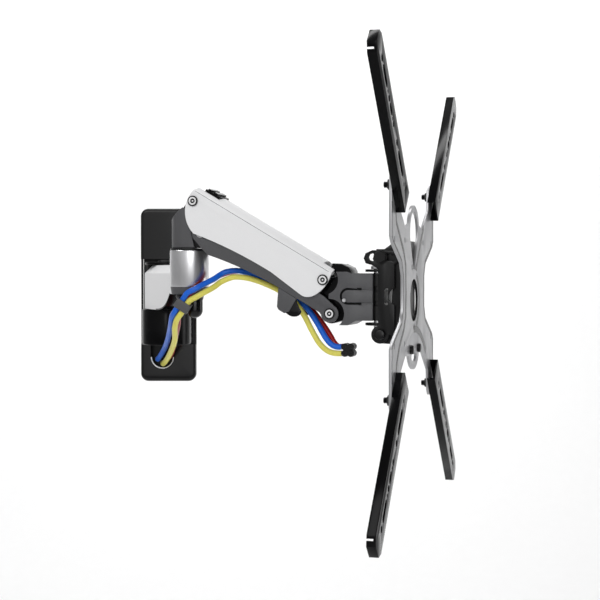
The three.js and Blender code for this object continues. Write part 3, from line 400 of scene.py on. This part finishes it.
def through(points, steps):
    """A centripetal Catmull-Rom curve through the points, with steps between each two."""
    points = [Vector(p) for p in points]
    ends = [2 * points[0] - points[1]] + points + [2 * points[-1] - points[-2]]
    curve = []
    for a, b, c, d in zip(ends, ends[1:], ends[2:], ends[3:]):
        knots = [0]
        for p, q in ((a, b), (b, c), (c, d)):
            knots.append(knots[-1] + max((q - p).length, 1e-6) ** 0.5)
        t0, t1, t2, t3 = knots
        for i in range(steps):
            t = t1 + (t2 - t1) * i / steps
            ab = a.lerp(b, (t - t0) / (t1 - t0))
            bc = b.lerp(c, (t - t1) / (t2 - t1))
            cd = c.lerp(d, (t - t2) / (t3 - t2))
            abc = ab.lerp(bc, (t - t0) / (t2 - t0))
            bcd = bc.lerp(cd, (t - t1) / (t3 - t1))
            curve.append(abc.lerp(bcd, (t - t1) / (t2 - t1)))
    return curve + [points[-1]]


def tube(name, centres, radius, sides=16):
    """A closed round tube along the centres, with a frame carried from each point to the next."""
    bm = bmesh.new()
    tangents = [(b - a).normalized() for a, b in zip(centres, centres[1:])]
    tangents = [tangents[0]] + [(a + b).normalized() for a, b in zip(tangents, tangents[1:])] + [tangents[-1]]
    side = tangents[0].orthogonal().normalized()
    rings = []
    for centre, tangent in zip(centres, tangents):
        side = (side - tangent * side.dot(tangent)).normalized()
        up = tangent.cross(side)
        ring = []
        for i in range(sides):
            angle = 2 * math.pi * i / sides
            ring.append(bm.verts.new(centre + radius * (math.cos(angle) * side + math.sin(angle) * up)))
        rings.append(ring)
    for low, high in zip(rings, rings[1:]):
        for i in range(sides):
            j = (i + 1) % sides
            bm.faces.new([low[i], low[j], high[j], high[i]])
    bm.faces.new(rings[0])
    bm.faces.new(rings[-1])
    return smooth(new_object(name, bm), 50)


def cable_end():
    """Moulded block that gathers the cables: four round lobes across the arm."""
    profile = [(0, -7), (3, -7), (3.6, -6.3), (3.6, -2.2), (3.25, -1.7), (3.6, -1.2), (3.6, 1.2), (3.25, 1.7),
               (3.6, 2.2), (3.6, 6.3), (3, 7), (1.7, 7), (1.5, 6.2), (0, 6.2)]
    centre = ARM @ shift(172.4, 0, -52.8) @ Z_TO_NEAR
    lobes = []
    for across in (-3.1, 3.1):
        for up in (-3.3, 3.3):
            lobes.append(lathe(f"cable_end_lobe_{len(lobes)}", profile, centre @ shift(across, up, 0), 32))
    lobes.append(lathe("cable_end_core", [(0, -6.6), (3.3, -6.6), (3.3, 6.6), (0, 6.6)], centre, 20))
    block = join_objects(lobes)
    block.name = "cable_end_moulding"
    return settle(block, "head", "moulded_black", ["cable_end"])


end_block = cable_end()
for colour, lengths in CABLES.items():
    route, joins = [], [0]
    for part, points in lengths.items():
        placed = [LENGTHS[part][0] @ Vector(p) for p in points]
        if route:
            route[-1] = (route[-1] + placed.pop(0)) / 2
        route += placed
        joins.append(len(route) - 1)
    curve = through(route, 6)
    for part, start, stop in zip(lengths, joins, joins[1:]):
        centres = curve[6 * start : 6 * stop + 1]
        piece = tube(f"cable_{colour}_{part}_jacket", centres, CABLE_RADIUS - 0.02)
        piece.data.materials.append(LOOKS[f"cable_{colour}"])
        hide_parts(f"cable_{colour}_{part}")
        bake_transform(piece)

# ---------------------------------------------------------------- wall plate, cover and hinge

COVER_WIDTH = 64
COVER_HEIGHT = 200
COVER_CORNER = 9
COVER_FRONT = 16
COVER_BEVEL = 4
BAND_LOW = -57
BAND_HIGH = 41.5
BAND_BACK = 9
PORT_X = -7
PORT_Z = -72
PORT_RADIUS = 13.5
# Local x, y, z of a wall piece are the row's X, Z and -Y.
WALL = Z_TO_NEAR


def box(name, x0, x1, y0, y1, z0, z1, matrix=ROW):
    return prism(name, [(x0, y0), (x1, y0), (x1, y1), (x0, y1)], z0, z1, matrix)


def wall_cover():
    """A moulded shell with a rounded front rim, cut down where the hinge stands, with a port."""
    rings = [(0, 1), (0, COVER_FRONT - COVER_BEVEL)]
    for step in range(1, 9):
        angle = math.radians(90 * step / 8)
        inset = COVER_BEVEL * (1 - math.cos(angle))
        rings.append((inset, COVER_FRONT - COVER_BEVEL + COVER_BEVEL * math.sin(angle)))
    bm = bmesh.new()
    loops = []
    for inset, z in rings:
        outline = rounded_box(COVER_WIDTH - 2 * inset, COVER_HEIGHT - 2 * inset, COVER_CORNER - inset)
        loops.append([bm.verts.new((x, y, z)) for x, y in outline])
    for low, high in zip(loops, loops[1:]):
        for i in range(len(low)):
            j = (i + 1) % len(low)
            bm.faces.new([low[i], low[j], high[j], high[i]])
    bm.faces.new(loops[0])
    bm.faces.new(loops[-1])
    shell = new_object("wall_cover_moulding", bm, WALL)
    hollow = prism("cover_hollow", rounded_box(60, 196, 7, 6), -1, COVER_FRONT - 2.5, WALL)
    boolean(shell, hollow)
    band = box("cover_band", -50, 50, BAND_LOW, BAND_HIGH, BAND_BACK, 30, WALL)
    boolean(shell, band)
    slot = [(PORT_X + PORT_RADIUS, BAND_LOW + 1)] + arc(PORT_X, PORT_Z, PORT_RADIUS, 0, -180, 28)
    slot.append((PORT_X - PORT_RADIUS, BAND_LOW + 1))
    boolean(shell, prism("cover_port", slot, 5, 30, WALL))
    smooth(shell, 30)
    return settle(shell, "wall", "gloss_black_plastic", ["wall_cover"])


def port_highlight_rim():
    """Bright steel lip that lines the cable port, just inside its edge: a painted highlight of the port's
    rim.
    """
    outer = arc(PORT_X, PORT_Z, PORT_RADIUS - 0.1, 0, -180, 28)
    inner = arc(PORT_X, PORT_Z, PORT_RADIUS - 1.3, -180, 0, 28)
    rim = prism("port_highlight_rim", outer + inner, COVER_FRONT - 4.5, COVER_FRONT - 0.3, WALL)
    bevel(rim, 0.3)
    return settle(rim, "wall", "steel")


def hinge_housing():
    """The D-shaped casting, with the ear over the link on the same back."""
    back = -4.3

    def dee(radius, steps):
        left = [(radius, back), (radius, HINGE_Y)]
        return left + arc(0, HINGE_Y, radius, 0, -180, steps)[1:] + [(-radius, back)]

    lower = bevel(prism("hinge_lower", dee(27.5, 48), -56, -15.5), 1.6, 4)
    ear = bevel(prism("hinge_ear", dee(24, 44), 34.5, 37.5), 0.8, 3)
    spine = bevel(box("hinge_spine", -24, 24, back - 4, back - 0.01, -20, 36), 0.6)
    housing = join_objects([lower, ear, spine])
    housing.name = "hinge_casting"
    return settle(housing, "wall", "gloss_black_paint", ["hinge_housing"])


def socket_head(name, radius, thick, matrix, body):
    """A round head from local z = 0 to z = thick: black rim, bright ring, hexagonal socket, and a silver post
    in the socket's middle that is a painted highlight.
    """
    rim = [(radius * 0.76, 0), (radius, 0), (radius, thick - 0.4), (radius - 0.35, thick)]
    rim.append((radius * 0.76, thick))
    settle(smooth(lathe(f"{name}_rim", rim, matrix)), body, "black_steel")
    ring = [(radius * 0.46, 0), (radius * 0.77, 0), (radius * 0.77, thick - 0.25),
            (radius * 0.72, thick - 0.05), (radius * 0.52, thick - 0.05), (radius * 0.46, thick - 0.3)]
    settle(smooth(lathe(f"{name}_ring", ring, matrix)), body, "silver_paint")
    floor = [(0, 0.02), (radius * 0.48, 0.02), (radius * 0.48, 0.25), (0, 0.25)]
    settle(lathe(f"{name}_socket", floor, matrix, 6), body, "black_steel")
    # Silver post in the socket: a painted highlight.
    highlight_post = [(0, 0.2), (radius * 0.16, 0.2), (radius * 0.16, thick - 0.6), (0, thick - 0.6)]
    settle(smooth(lathe(f"{name}_post", highlight_post, matrix, 24)), body, "silver_paint")


def hinge_pin():
    """The pin's head over the housing's ear, with a shallow dimple in its middle."""
    profile = [(0, 37.8), (9.5, 37.8), (10, 38.2), (10, 38.7), (9.2, 39.5), (4.4, 39.5), (4, 39),
               (4, 38.4), (0, 38.4)]
    pin = smooth(lathe("hinge_pin_head", profile, shift(0, HINGE_Y, 0)))
    return settle(pin, "wall", "black_steel", ["wall_hinge_pin"])


refine("wall_plate", 0.4)
refine("lag_screw_upper", 0.3)
refine("lag_screw_lower", 0.3)
wall_cover()
port_highlight_rim()
hinge_housing()
hinge_pin()

# ---------------------------------------------------------------- swivel link


def bend(a, b, c, d, steps=14):
    """Points of a cubic curve from a to d, drawn towards b and c."""
    points = []
    for i in range(steps + 1):
        t = i / steps
        weights = ((1 - t) ** 3, 3 * t * (1 - t) ** 2, 3 * t * t * (1 - t), t**3)
        points.append(tuple(sum(w * q[k] for w, q in zip(weights, (a, b, c, d))) for k in (0, 1)))
    return points


def swivel_link():
    """The white boss and web with sloped top edges, the turned barrel, its foot and a dark sheet of painted
    shade under the web's belly.
    """
    levels = [(-16, 0), (25, 0), (34, 9)]
    bm = bmesh.new()
    loops = []
    for z, inset in levels:
        outline = arc(0, 0, 24.5 - inset, 90, 270, 40)
        outline += [(LINK_LENGTH, inset - 18), (LINK_LENGTH, 18 - inset)]
        loops.append([bm.verts.new((x, y, z)) for x, y in outline])
    for low, high in zip(loops, loops[1:]):
        for i in range(len(low)):
            j = (i + 1) % len(low)
            bm.faces.new([low[i], low[j], high[j], high[i]])
    bm.faces.new(loops[0])
    bm.faces.new(loops[-1])
    web = new_object("swivel_link_web", bm, LINK)
    toe = bend((-25.6, -10), (-23, -13.3), (-19, -15), (-14.5, -15))
    heel = bend((50, -15), (80, -15), (95, -9), (108, 3.3))
    side = toe + heel + [(130, 3.3), (130, 40), (-25.6, 40)]
    boolean(web, prism("link_side", side, -30, 30, LINK @ Z_TO_NEAR), "INTERSECT")
    bevel(web, 1.0, 3, 30)
    settle(web, "link", "silver_paint", ["swivel_link"])
    profile = [(0, 11), (20, 11), (20.5, 12.5), (20.5, 48.3), (19.8, 49), (0, 49)]
    barrel = smooth(lathe("swivel_link_barrel", profile, LINK @ shift(LINK_LENGTH, 0, 0), 72), 30)
    settle(barrel, "link", "steel")
    cone = [(0, 3), (18.2, 3), (18.6, 3.4), (20, 11.2), (0, 11.2)]
    foot = smooth(lathe("swivel_link_foot", cone, LINK @ shift(LINK_LENGTH, 0, 0), 72), 30)
    settle(foot, "link", "dark_grey")
    # A thin black sheet of painted shade that follows the web's sloped underside.
    slope = bend((50, -15.3), (80, -15.3), (95, -9.3), (108, 3))
    belly = prism("link_underside_shade", slope + [(x, z + 1.5) for x, z in reversed(slope)], -30, 30, LINK @ Z_TO_NEAR)
    plan = [(20, -23.8), (118, -18.2), (118, 18.2), (20, 23.8)]
    boolean(belly, prism("belly_plan", plan, -30, 30, LINK), "INTERSECT")
    return settle(smooth(belly, 30), "link", "gloss_black_paint")


swivel_link()


def elbow_flange():
    """The turned collar between the link's barrel and its cap."""
    profile = [(0, -2), (12.3, -2), (13.2, -1.7), (14, -0.9), (14.5, 0.2), (14.5, 2.1), (14, 2.7), (0, 2.7)]
    flange = smooth(lathe("elbow_flange_turned", profile, LINK @ shift(LINK_LENGTH, 0, 0), 64))
    return settle(flange, "link", "black_steel", ["elbow_flange"])


def elbow_cap():
    """The round-ended cap that hangs below the link's barrel."""
    radius = 8.5
    dome = [(radius * math.sin(math.radians(a)), -22 + radius * (1 - math.cos(math.radians(a))))
            for a in range(0, 91, 6)]
    groove = [(radius, -4.4), (radius - 0.5, -4), (radius - 0.5, -3.4), (radius, -3)]
    profile = dome + groove + [(radius, -2.3), (0, -2.3)]
    cap = smooth(lathe("elbow_dome_cap", profile, LINK @ shift(LINK_LENGTH + 4.6, 4.5, 0), 64))
    return settle(cap, "link", "gloss_black_plastic", ["elbow_cap"])


elbow_flange()
elbow_cap()
refine("cable_strap", 0.5, 3)

# ---------------------------------------------------------------- arm base and arms

refine("elbow_bracket", 0.7, 3)
refine("arm_base_core", 0.5)
refine("elbow_pin", 0.5)
refine("elbow_washer", 0.3)
refine("spring_rear_pin", 0.3)
refine("lower_rear_pivot", 0.5)
refine("upper_arm_cover", 0.9, 4, 24)
refine("spring_front_pin", 0.3)


def cover_crease_shades():
    """A dark line of painted shade along the crease on each side of the arm cover, under its curved top, and
    its slot's insert.
    """
    slope = ARM @ shift(UPPER_REAR[0], 0, UPPER_REAR[1]) @ turn(SLOPE, "Y")
    for name, low in (("near", ARM_HALF - 0.1), ("far", -ARM_HALF - 0.06)):
        # Thin dark grey strips of painted shade where the side meets the crowned top.
        line = box(f"cover_crease_shade_{name}", -3, ARM_LENGTH + 1, 9.9, 10.3, low, low + 0.16, slope @ Z_TO_NEAR)
        settle(line, "upper_arm", "dark_grey")
    insert = box("cover_rear_insert", 3, 20.4, -14.6, 14.6, 9, 16.6, slope)
    for low, high in ((5, 8.5), (12, 16.5)):
        bump = box("insert_rib", low, high, -13.5, 13.5, 16, 18.2, slope)
        insert = join_objects([insert, bump])
    return settle(insert, "upper_arm", "gloss_black_paint")


cover_crease_shades()
refine("lower_arm", 0.6, 3)
refine("cable_loop", 1.0, 4)


def loop_lips():
    """Black lining that shows as a curved lip at each side of the loop's front end."""
    outline = bend((111.5, -15), (116, -20.5), (127, -20.5), (127.6, -13.5))
    outline += [(124, -7), (122, -1.5), (117, -6)]
    for name, low in (("near", 19.2), ("far", -21.6)):
        lip = prism(f"loop_lip_{name}", outline, low, low + 2.4, ARM @ Z_TO_NEAR)
        settle(bevel(lip, 0.6, 3), "lower_arm", "gloss_black_plastic")


loop_lips()
refine("gas_cylinder", 0.6)
refine("gas_rod", 0.4)
refine("head_block", 0.5, 3)


def arm_pivot(node, place, half, body):
    """A pivot through the arm: a plain shank and a socket head on each side."""
    r, z = place
    centre = ARM @ shift(r, 0, z)
    shank = lathe(f"{node}_shank", [(0, -half), (4, -half), (4, half), (0, half)], centre @ Z_TO_FAR, 32)
    settle(smooth(shank), body, SLOT_OF[node], [node])
    for side, direction in (("near", Z_TO_NEAR), ("far", Z_TO_FAR)):
        socket_head(f"{node}_{side}", 5.4, 1.6, centre @ direction @ shift(0, 0, half + 0.3), body)


def knuckle():
    """The head's eye block, which carries both front pivots between the arms' walls; its black is painted
    shade of the recess between them.
    """
    back = [(178.1, -20), (178.1, 27), (176, 30.6), (168, 34.6), (158.4, 35.1), (156.8, 31), (163.4, 22)]
    outline = arc(*LOWER_FRONT, 10.1, 180, 288) + back + arc(*UPPER_FRONT, 7.5, 18, 180)
    block = prism("head_knuckle", outline, -14.1, 14.1, ARM @ Z_TO_NEAR)
    return settle(bevel(block, 0.7, 3), "head", "gloss_black_paint")


knuckle()
arm_pivot("upper_rear_pivot", UPPER_REAR, ARM_HALF, "arm_base")
arm_pivot("upper_front_pivot", UPPER_FRONT, ARM_HALF, "head")
arm_pivot("lower_front_pivot", LOWER_FRONT, LOWER_ARM_HALF, "head")

# ---------------------------------------------------------------- head

BARREL = ARM @ shift(SWIVEL_R, 0, 0)


def swivel_barrel():
    """Three bands, with a round groove between each two."""
    profile = [(4.3, -22.5), (9, -22.5), (9.5, -22), (9.5, -7.8), (9, -7.3), (7.6, -7.3), (7.6, -3.3),
               (8.2, -3.3), (8.6, -2.8), (8.6, 6.8), (8.2, 7.3), (7.6, 7.3), (7.6, 11.3), (9, 11.3),
               (9.5, 11.8), (9.5, 24.5), (9, 25), (4.3, 25)]
    barrel = smooth(lathe("swivel_barrel_turned", profile, BARREL, 64), 25)
    return settle(barrel, "head", "black_sheet", ["swivel_barrel"])


def swivel_pin():
    """The pin through the barrel and the yoke, with its head on top."""
    profile = [(0, -31), (3.4, -31), (4, -30.4), (4, 29.3), (6.6, 29.3), (7, 29.8), (7, 32), (5.6, 33.4),
               (0, 33.5)]
    pin = smooth(lathe("swivel_pin_turned", profile, BARREL))
    return settle(pin, "head", "steel", ["swivel_pin"])


def head_set_screw():
    """Small socket screw at the lower end of the near groove."""
    place = ARM @ shift(172.5, -22, -2) @ Z_TO_NEAR
    profile = [(0, 0.3), (2, 0.3), (2, 1.2), (1.7, 1.6), (0.9, 1.6), (0.9, 0.7), (0, 0.7)]
    screw = smooth(lathe("head_set_screw_turned", profile, place, 32))
    return settle(screw, "head", "steel", ["head_set_screw"])


def groove_shade_lines():
    """Dark line of painted shade along the rounded groove on each side of the head."""
    upper, lower, left, half = 9.3, -5.3, 169, 1.05
    middle, run = (upper + lower) / 2, (upper - lower) / 2
    outer = arc(left + run, middle, run + half, 90, 270, 24)
    inner = arc(left + run, middle, run - half, 270, 90, 24)
    lower_end = [(190, lower - half), (190, lower + half)]
    outline = [(190, upper + half)] + outer + lower_end + inner + [(190, upper - half)]
    for name, low in (("near", 20.85), ("far", -21.15)):
        # Thin black strip of painted shade in the groove.
        line = prism(f"head_groove_shade_{name}", outline, low, low + 0.3, ARM @ Z_TO_NEAR)
        settle(line, "head", "gloss_black_paint")


swivel_barrel()
swivel_pin()
head_set_screw()
groove_shade_lines()

# ---------------------------------------------------------------- yoke, tilt bracket and screen plate

# The narrow window between the yoke and the bracket, as (r, z) seen from the side.
SIDE_WINDOW = [(213.4, -4.6), (215, -6.8), (217, -6.8), (217, 10.1), (215, 10.1), (213.4, 8)]

for part in ("swivel_yoke", "tilt_bracket"):
    boolean(refine(part, 0.45, 2), prism("side_window", SIDE_WINDOW, -40, 40, ARM @ Z_TO_NEAR))
refine("centre_plate", 0.5, 2)


def painted_shade_line(name, points, width):
    """A black strip of painted shade on the centre plate's face, where a pressed line is dark at its foot,
    through points (u, v).
    """
    sides = ([], [])
    for i, (u, v) in enumerate(points):
        before, after = points[max(i - 1, 0)], points[min(i + 1, len(points) - 1)]
        along = Vector((after[0] - before[0], after[1] - before[1])).normalized()
        for edge, half in zip(sides, (width / 2, -width / 2)):
            edge.append((u - along.y * half, v + along.x * half))
    place = ARM @ shift(0, 0, SCREEN_Z) @ Matrix(((0, 0, 1, 0), (1, 0, 0, 0), (0, 1, 0, 0), (0, 0, 0, 1)))
    line = prism(name, sides[0] + sides[1][::-1], PLATE_FRONT - 0.2, PLATE_FRONT + 0.15, place)
    return settle(line, "screen", "gloss_black_paint")


def plate_shade_lines():
    """Painted shade of the centre plate's pressed lines and of the groove beside its hole, and a black lining
    of painted shade inside the hole.
    """
    edge = [(112, 84), (112, 53), (106.5, 48), (65, 30.2), (56.4, 16)]
    edge += [(u, -v) for u, v in reversed(edge)]
    # Black strips of painted shade along the pressed edges and ribs, and a crescent beside the hole.
    painted_shade_line("plate_edge_shade_far", edge, 3.4)
    painted_shade_line("plate_edge_shade_near", [(-u, v) for u, v in edge], 2.6)
    painted_shade_line("plate_rib_shade_near", [(-96, 86), (-92, 66), (-54, 38), (-45, 26), (-43, 0), (-45, -24), (-54, -36),
                              (-77, -52), (-90, -68), (-94, -86)], 5)
    painted_shade_line("plate_rib_shade_top", [(54, 66), (31, 44), (11, 22)], 6)
    painted_shade_line("plate_rib_shade_low", bend((0, -38), (26, -37), (50, -48), (68, -64)), 7)
    painted_shade_line("plate_ring_shade", arc(0, HOLE_V, 28, -62, 62, 20), 6)
    # Thin black sleeve on the hole's wall: painted shade inside the hole.
    lining = [(21, 236.8), (21.6, 236.8), (21.6, 239), (21, 239)]
    ring = lathe("plate_hole_shade", lining, ARM @ shift(0, 0, SCREEN_Z + HOLE_V) @ Z_TO_X, 64)
    return settle(smooth(ring), "screen", "black_sheet")


plate_shade_lines()


def hex_bolt(name, size, height, matrix):
    """A hexagonal head with a chamfered face, from local z = 0."""
    profile = [(0, 0), (size, 0), (size, height - 0.5), (size - 0.7, height), (0, height)]
    return lathe(name, profile, matrix, 6)


def cross_rod(node, place, radius, head_radius, sides):
    """A rod across the bracket, with a hexagonal head or, for any other sides, a rivet at each end."""
    r, z = place
    centre = ARM @ shift(r, 0, z)
    shank = [(0, -ROD_HALF), (radius, -ROD_HALF), (radius, ROD_HALF), (0, ROD_HALF)]
    pieces = [smooth(lathe(f"{node}_turned", shank, centre @ Z_TO_FAR, 32))]
    for direction in (Z_TO_NEAR, Z_TO_FAR):
        out = centre @ direction @ shift(0, 0, ROD_HALF)
        if sides == 6:
            washer = [(0, 0), (head_radius + 0.2, 0), (head_radius + 0.2, 0.7), (0, 0.7)]
            pieces.append(smooth(lathe(f"{node}_washer", washer, out, 36)))
            pieces.append(hex_bolt(f"{node}_hex", head_radius, 3.5, out))
        else:
            dome = [(0, 0), (head_radius, 0), (head_radius, 1.6), (head_radius - 0.8, 2.9), (2.4, 3.5),
                    (0, 3.5)]
            pieces.append(smooth(lathe(f"{node}_rivet", dome, out, 36)))
    rod = join_objects(pieces)
    return settle(rod, BODY_OF[node], SLOT_OF[node], [node])


cross_rod("tilt_pivot_rod", TILT_ROD, 4, 5.5, 20)
cross_rod("tilt_lock_bolt", LOCK_BOLT, 3, 6.7, 6)


def bracket_screw(node, y, z):
    """Button-headed screw from behind the tilt bracket, flush with the centre plate's front."""
    profile = [(0, 230.5), (2.2, 230.5), (2.2, 231.5), (3.6, 230.6), (4.8, 231.2), (5.5, 232.4),
               (5.5, 233.4), (3, 233.4), (3, 238.6), (2.6, 238.9), (0, 238.9)]
    screw = smooth(lathe(f"{node}_turned", profile, ARM @ shift(0, y, z) @ Z_TO_X, 36))
    return settle(screw, "screen", SLOT_OF[node], [node])


def plate_button(node, y):
    """Round black button that stands from the plate's face, below its hole."""
    profile = [(0, 239.5), (4.5, 239.5), (4.5, 241.6), (3.9, 242.5), (2.4, 242.9), (0, 242.9)]
    place = ARM @ shift(0, y, SCREEN_Z - 57.5) @ Z_TO_X
    button = smooth(lathe(f"{node}_moulded", profile, place, 36))
    return settle(button, "screen", SLOT_OF[node], [node])


bracket_screw("bracket_screw_upper_near", -11, SCREEN_Z + 24)
bracket_screw("bracket_screw_upper_far", 11, SCREEN_Z + 24)
bracket_screw("bracket_screw_lower", 0, SCREEN_Z - 35.6)
plate_button("plate_button_near", -20)
plate_button("plate_button_far", 20)

# ---------------------------------------------------------------- bars

CORNERS = {"far_top": -45, "far_bottom": -135, "near_bottom": 135, "near_top": 45}


def thread(radius, start, end, pitch=1):
    """Points of a threaded shank, from its free end at start."""
    points = [(0, start), (radius - 0.8, start)]
    height = start + 0.5
    while height + pitch < end:
        points += [(radius, height), (radius - 0.5, height + pitch / 2)]
        height += pitch
    return points + [(radius, end)]


def bar_bolt(corner, degrees):
    """Flat-headed bolt with a flange nut and a threaded end on the wall side."""
    node = f"bar_bolt_{corner}"
    place = ARM @ shift(0, 0, SCREEN_Z) @ turn(degrees, "X") @ shift(0, 0, BOLT_AT) @ Z_TO_X
    shank = thread(3, 229, 245) + [(5.9, 247.9), (2.2, 247.9), (2, 246.8), (0, 246.8)]
    flange = [(3, 236.2), (5.8, 236.2), (5.8, 235.5), (5.0, 234.9), (3, 234.9)]
    nut = [(3, 232.6), (4.6, 232.6), (5, 233), (5, 235.2), (3, 235.2)]
    pieces = [
        smooth(lathe(f"{node}_shank", shank, place, 32)),
        smooth(lathe(f"{node}_flange", flange, place, 36)),
        lathe(f"{node}_nut", nut, place, 6),
    ]
    return settle(join_objects(pieces), "screen", SLOT_OF[node], [node])


for corner, degrees in CORNERS.items():
    refine(f"bar_{corner}", 0.4, 2, 50)
    bar_bolt(corner, degrees)

# ---------------------------------------------------------------- studio

PALE = finish("studio_paper", "f4f4f4", 0.9, scale=40, bump=0.0, tone=0.005)


def add_backdrop():
    """A pale floor that sweeps up into a plain wall behind the mount."""
    profile = [(-6, -0.9), (1.6, -0.9)] + [
        (1.6 + 1.2 * math.sin(math.radians(a)), 0.3 - 1.2 * math.cos(math.radians(a)))
        for a in range(6, 91, 6)
    ] + [(2.8, 1.7)]
    bm = bmesh.new()
    rows = [[bm.verts.new((x, y, z)) for x in (-8, 8)] for y, z in profile]
    for low, high in zip(rows, rows[1:]):
        bm.faces.new([low[0], low[1], high[1], high[0]])
    mesh = bpy.data.meshes.new("backdrop")
    bm.to_mesh(mesh)
    bm.free()
    backdrop = bpy.data.objects.new("backdrop", mesh)
    mesh.materials.append(PALE)
    bpy.context.scene.collection.objects.link(backdrop)
    smooth(backdrop, 60)


def add_light(name, place, target, size, power):
    """A rectangular lamp at place that faces target. Lengths are in metres and power in watts."""
    data = bpy.data.lights.new(name, "AREA")
    data.shape = "RECTANGLE"
    data.size, data.size_y = size
    data.energy = power
    light = bpy.data.objects.new(name, data)
    light.location = place
    light.rotation_euler = (Vector(target) - Vector(place)).to_track_quat("-Z", "Y").to_euler()
    bpy.context.scene.collection.objects.link(light)


def add_world(strength):
    """Soft surroundings, in lighter and darker bands from side to side, and dimmer overhead."""
    world = bpy.data.worlds.new("studio")
    world.use_nodes = True
    nodes = world.node_tree.nodes
    link = world.node_tree.links.new
    place = nodes.new("ShaderNodeTexCoord")
    split = nodes.new("ShaderNodeSeparateXYZ")
    link(place.outputs["Generated"], split.inputs["Vector"])
    unit = nodes.new("ShaderNodeMapRange")
    unit.inputs["From Min"].default_value = -1
    link(split.outputs["X"], unit.inputs["Value"])
    bands = nodes.new("ShaderNodeValToRGB")
    stops = [(0, 0.8), (0.1, 1.1), (0.3, 1.5), (0.45, 2.2), (0.68, 2.6), (0.72, 2.6), (0.755, 0.06),
             (0.96, 0.06), (1, 1.8)]
    ramp = bands.color_ramp
    ramp.elements[0].position, first = stops[0]
    ramp.elements[0].color = (first, first, first, 1)
    ramp.elements[1].position, last = stops[-1]
    ramp.elements[1].color = (last, last, last, 1)
    for position, level in stops[1:-1]:
        ramp.elements.new(position).color = (level, level, level, 1)
    link(unit.outputs["Result"], bands.inputs["Fac"])
    rise = nodes.new("ShaderNodeMapRange")
    rise.inputs["From Min"].default_value = 0.15
    rise.inputs["From Max"].default_value = 0.7
    rise.inputs["To Min"].default_value = strength
    rise.inputs["To Max"].default_value = strength * 0.25
    link(split.outputs["Z"], rise.inputs["Value"])
    link(rise.outputs["Result"], nodes["Background"].inputs["Strength"])
    link(bands.outputs["Color"], nodes["Background"].inputs["Color"])
    bpy.context.scene.world = world


add_backdrop()
add_world(0.5)
add_light("key", (-0.7, -1.9, 1.3), (0.1, -0.15, 0), (1.4, 1.0), 15)
add_light("front", (0.5, -2.2, 0.3), (0.15, -0.15, 0), (1.2, 0.8), 9)
add_light("rim", (1.6, 0.2, -0.3), (0.1, -0.1, 0), (0.5, 1.2), 4)
add_light("backdrop_wash", (0, 0.6, 2.6), (0, 2.8, 0.2), (3.5, 1.0), 90)
bpy.context.scene.view_settings.view_transform = "Standard"
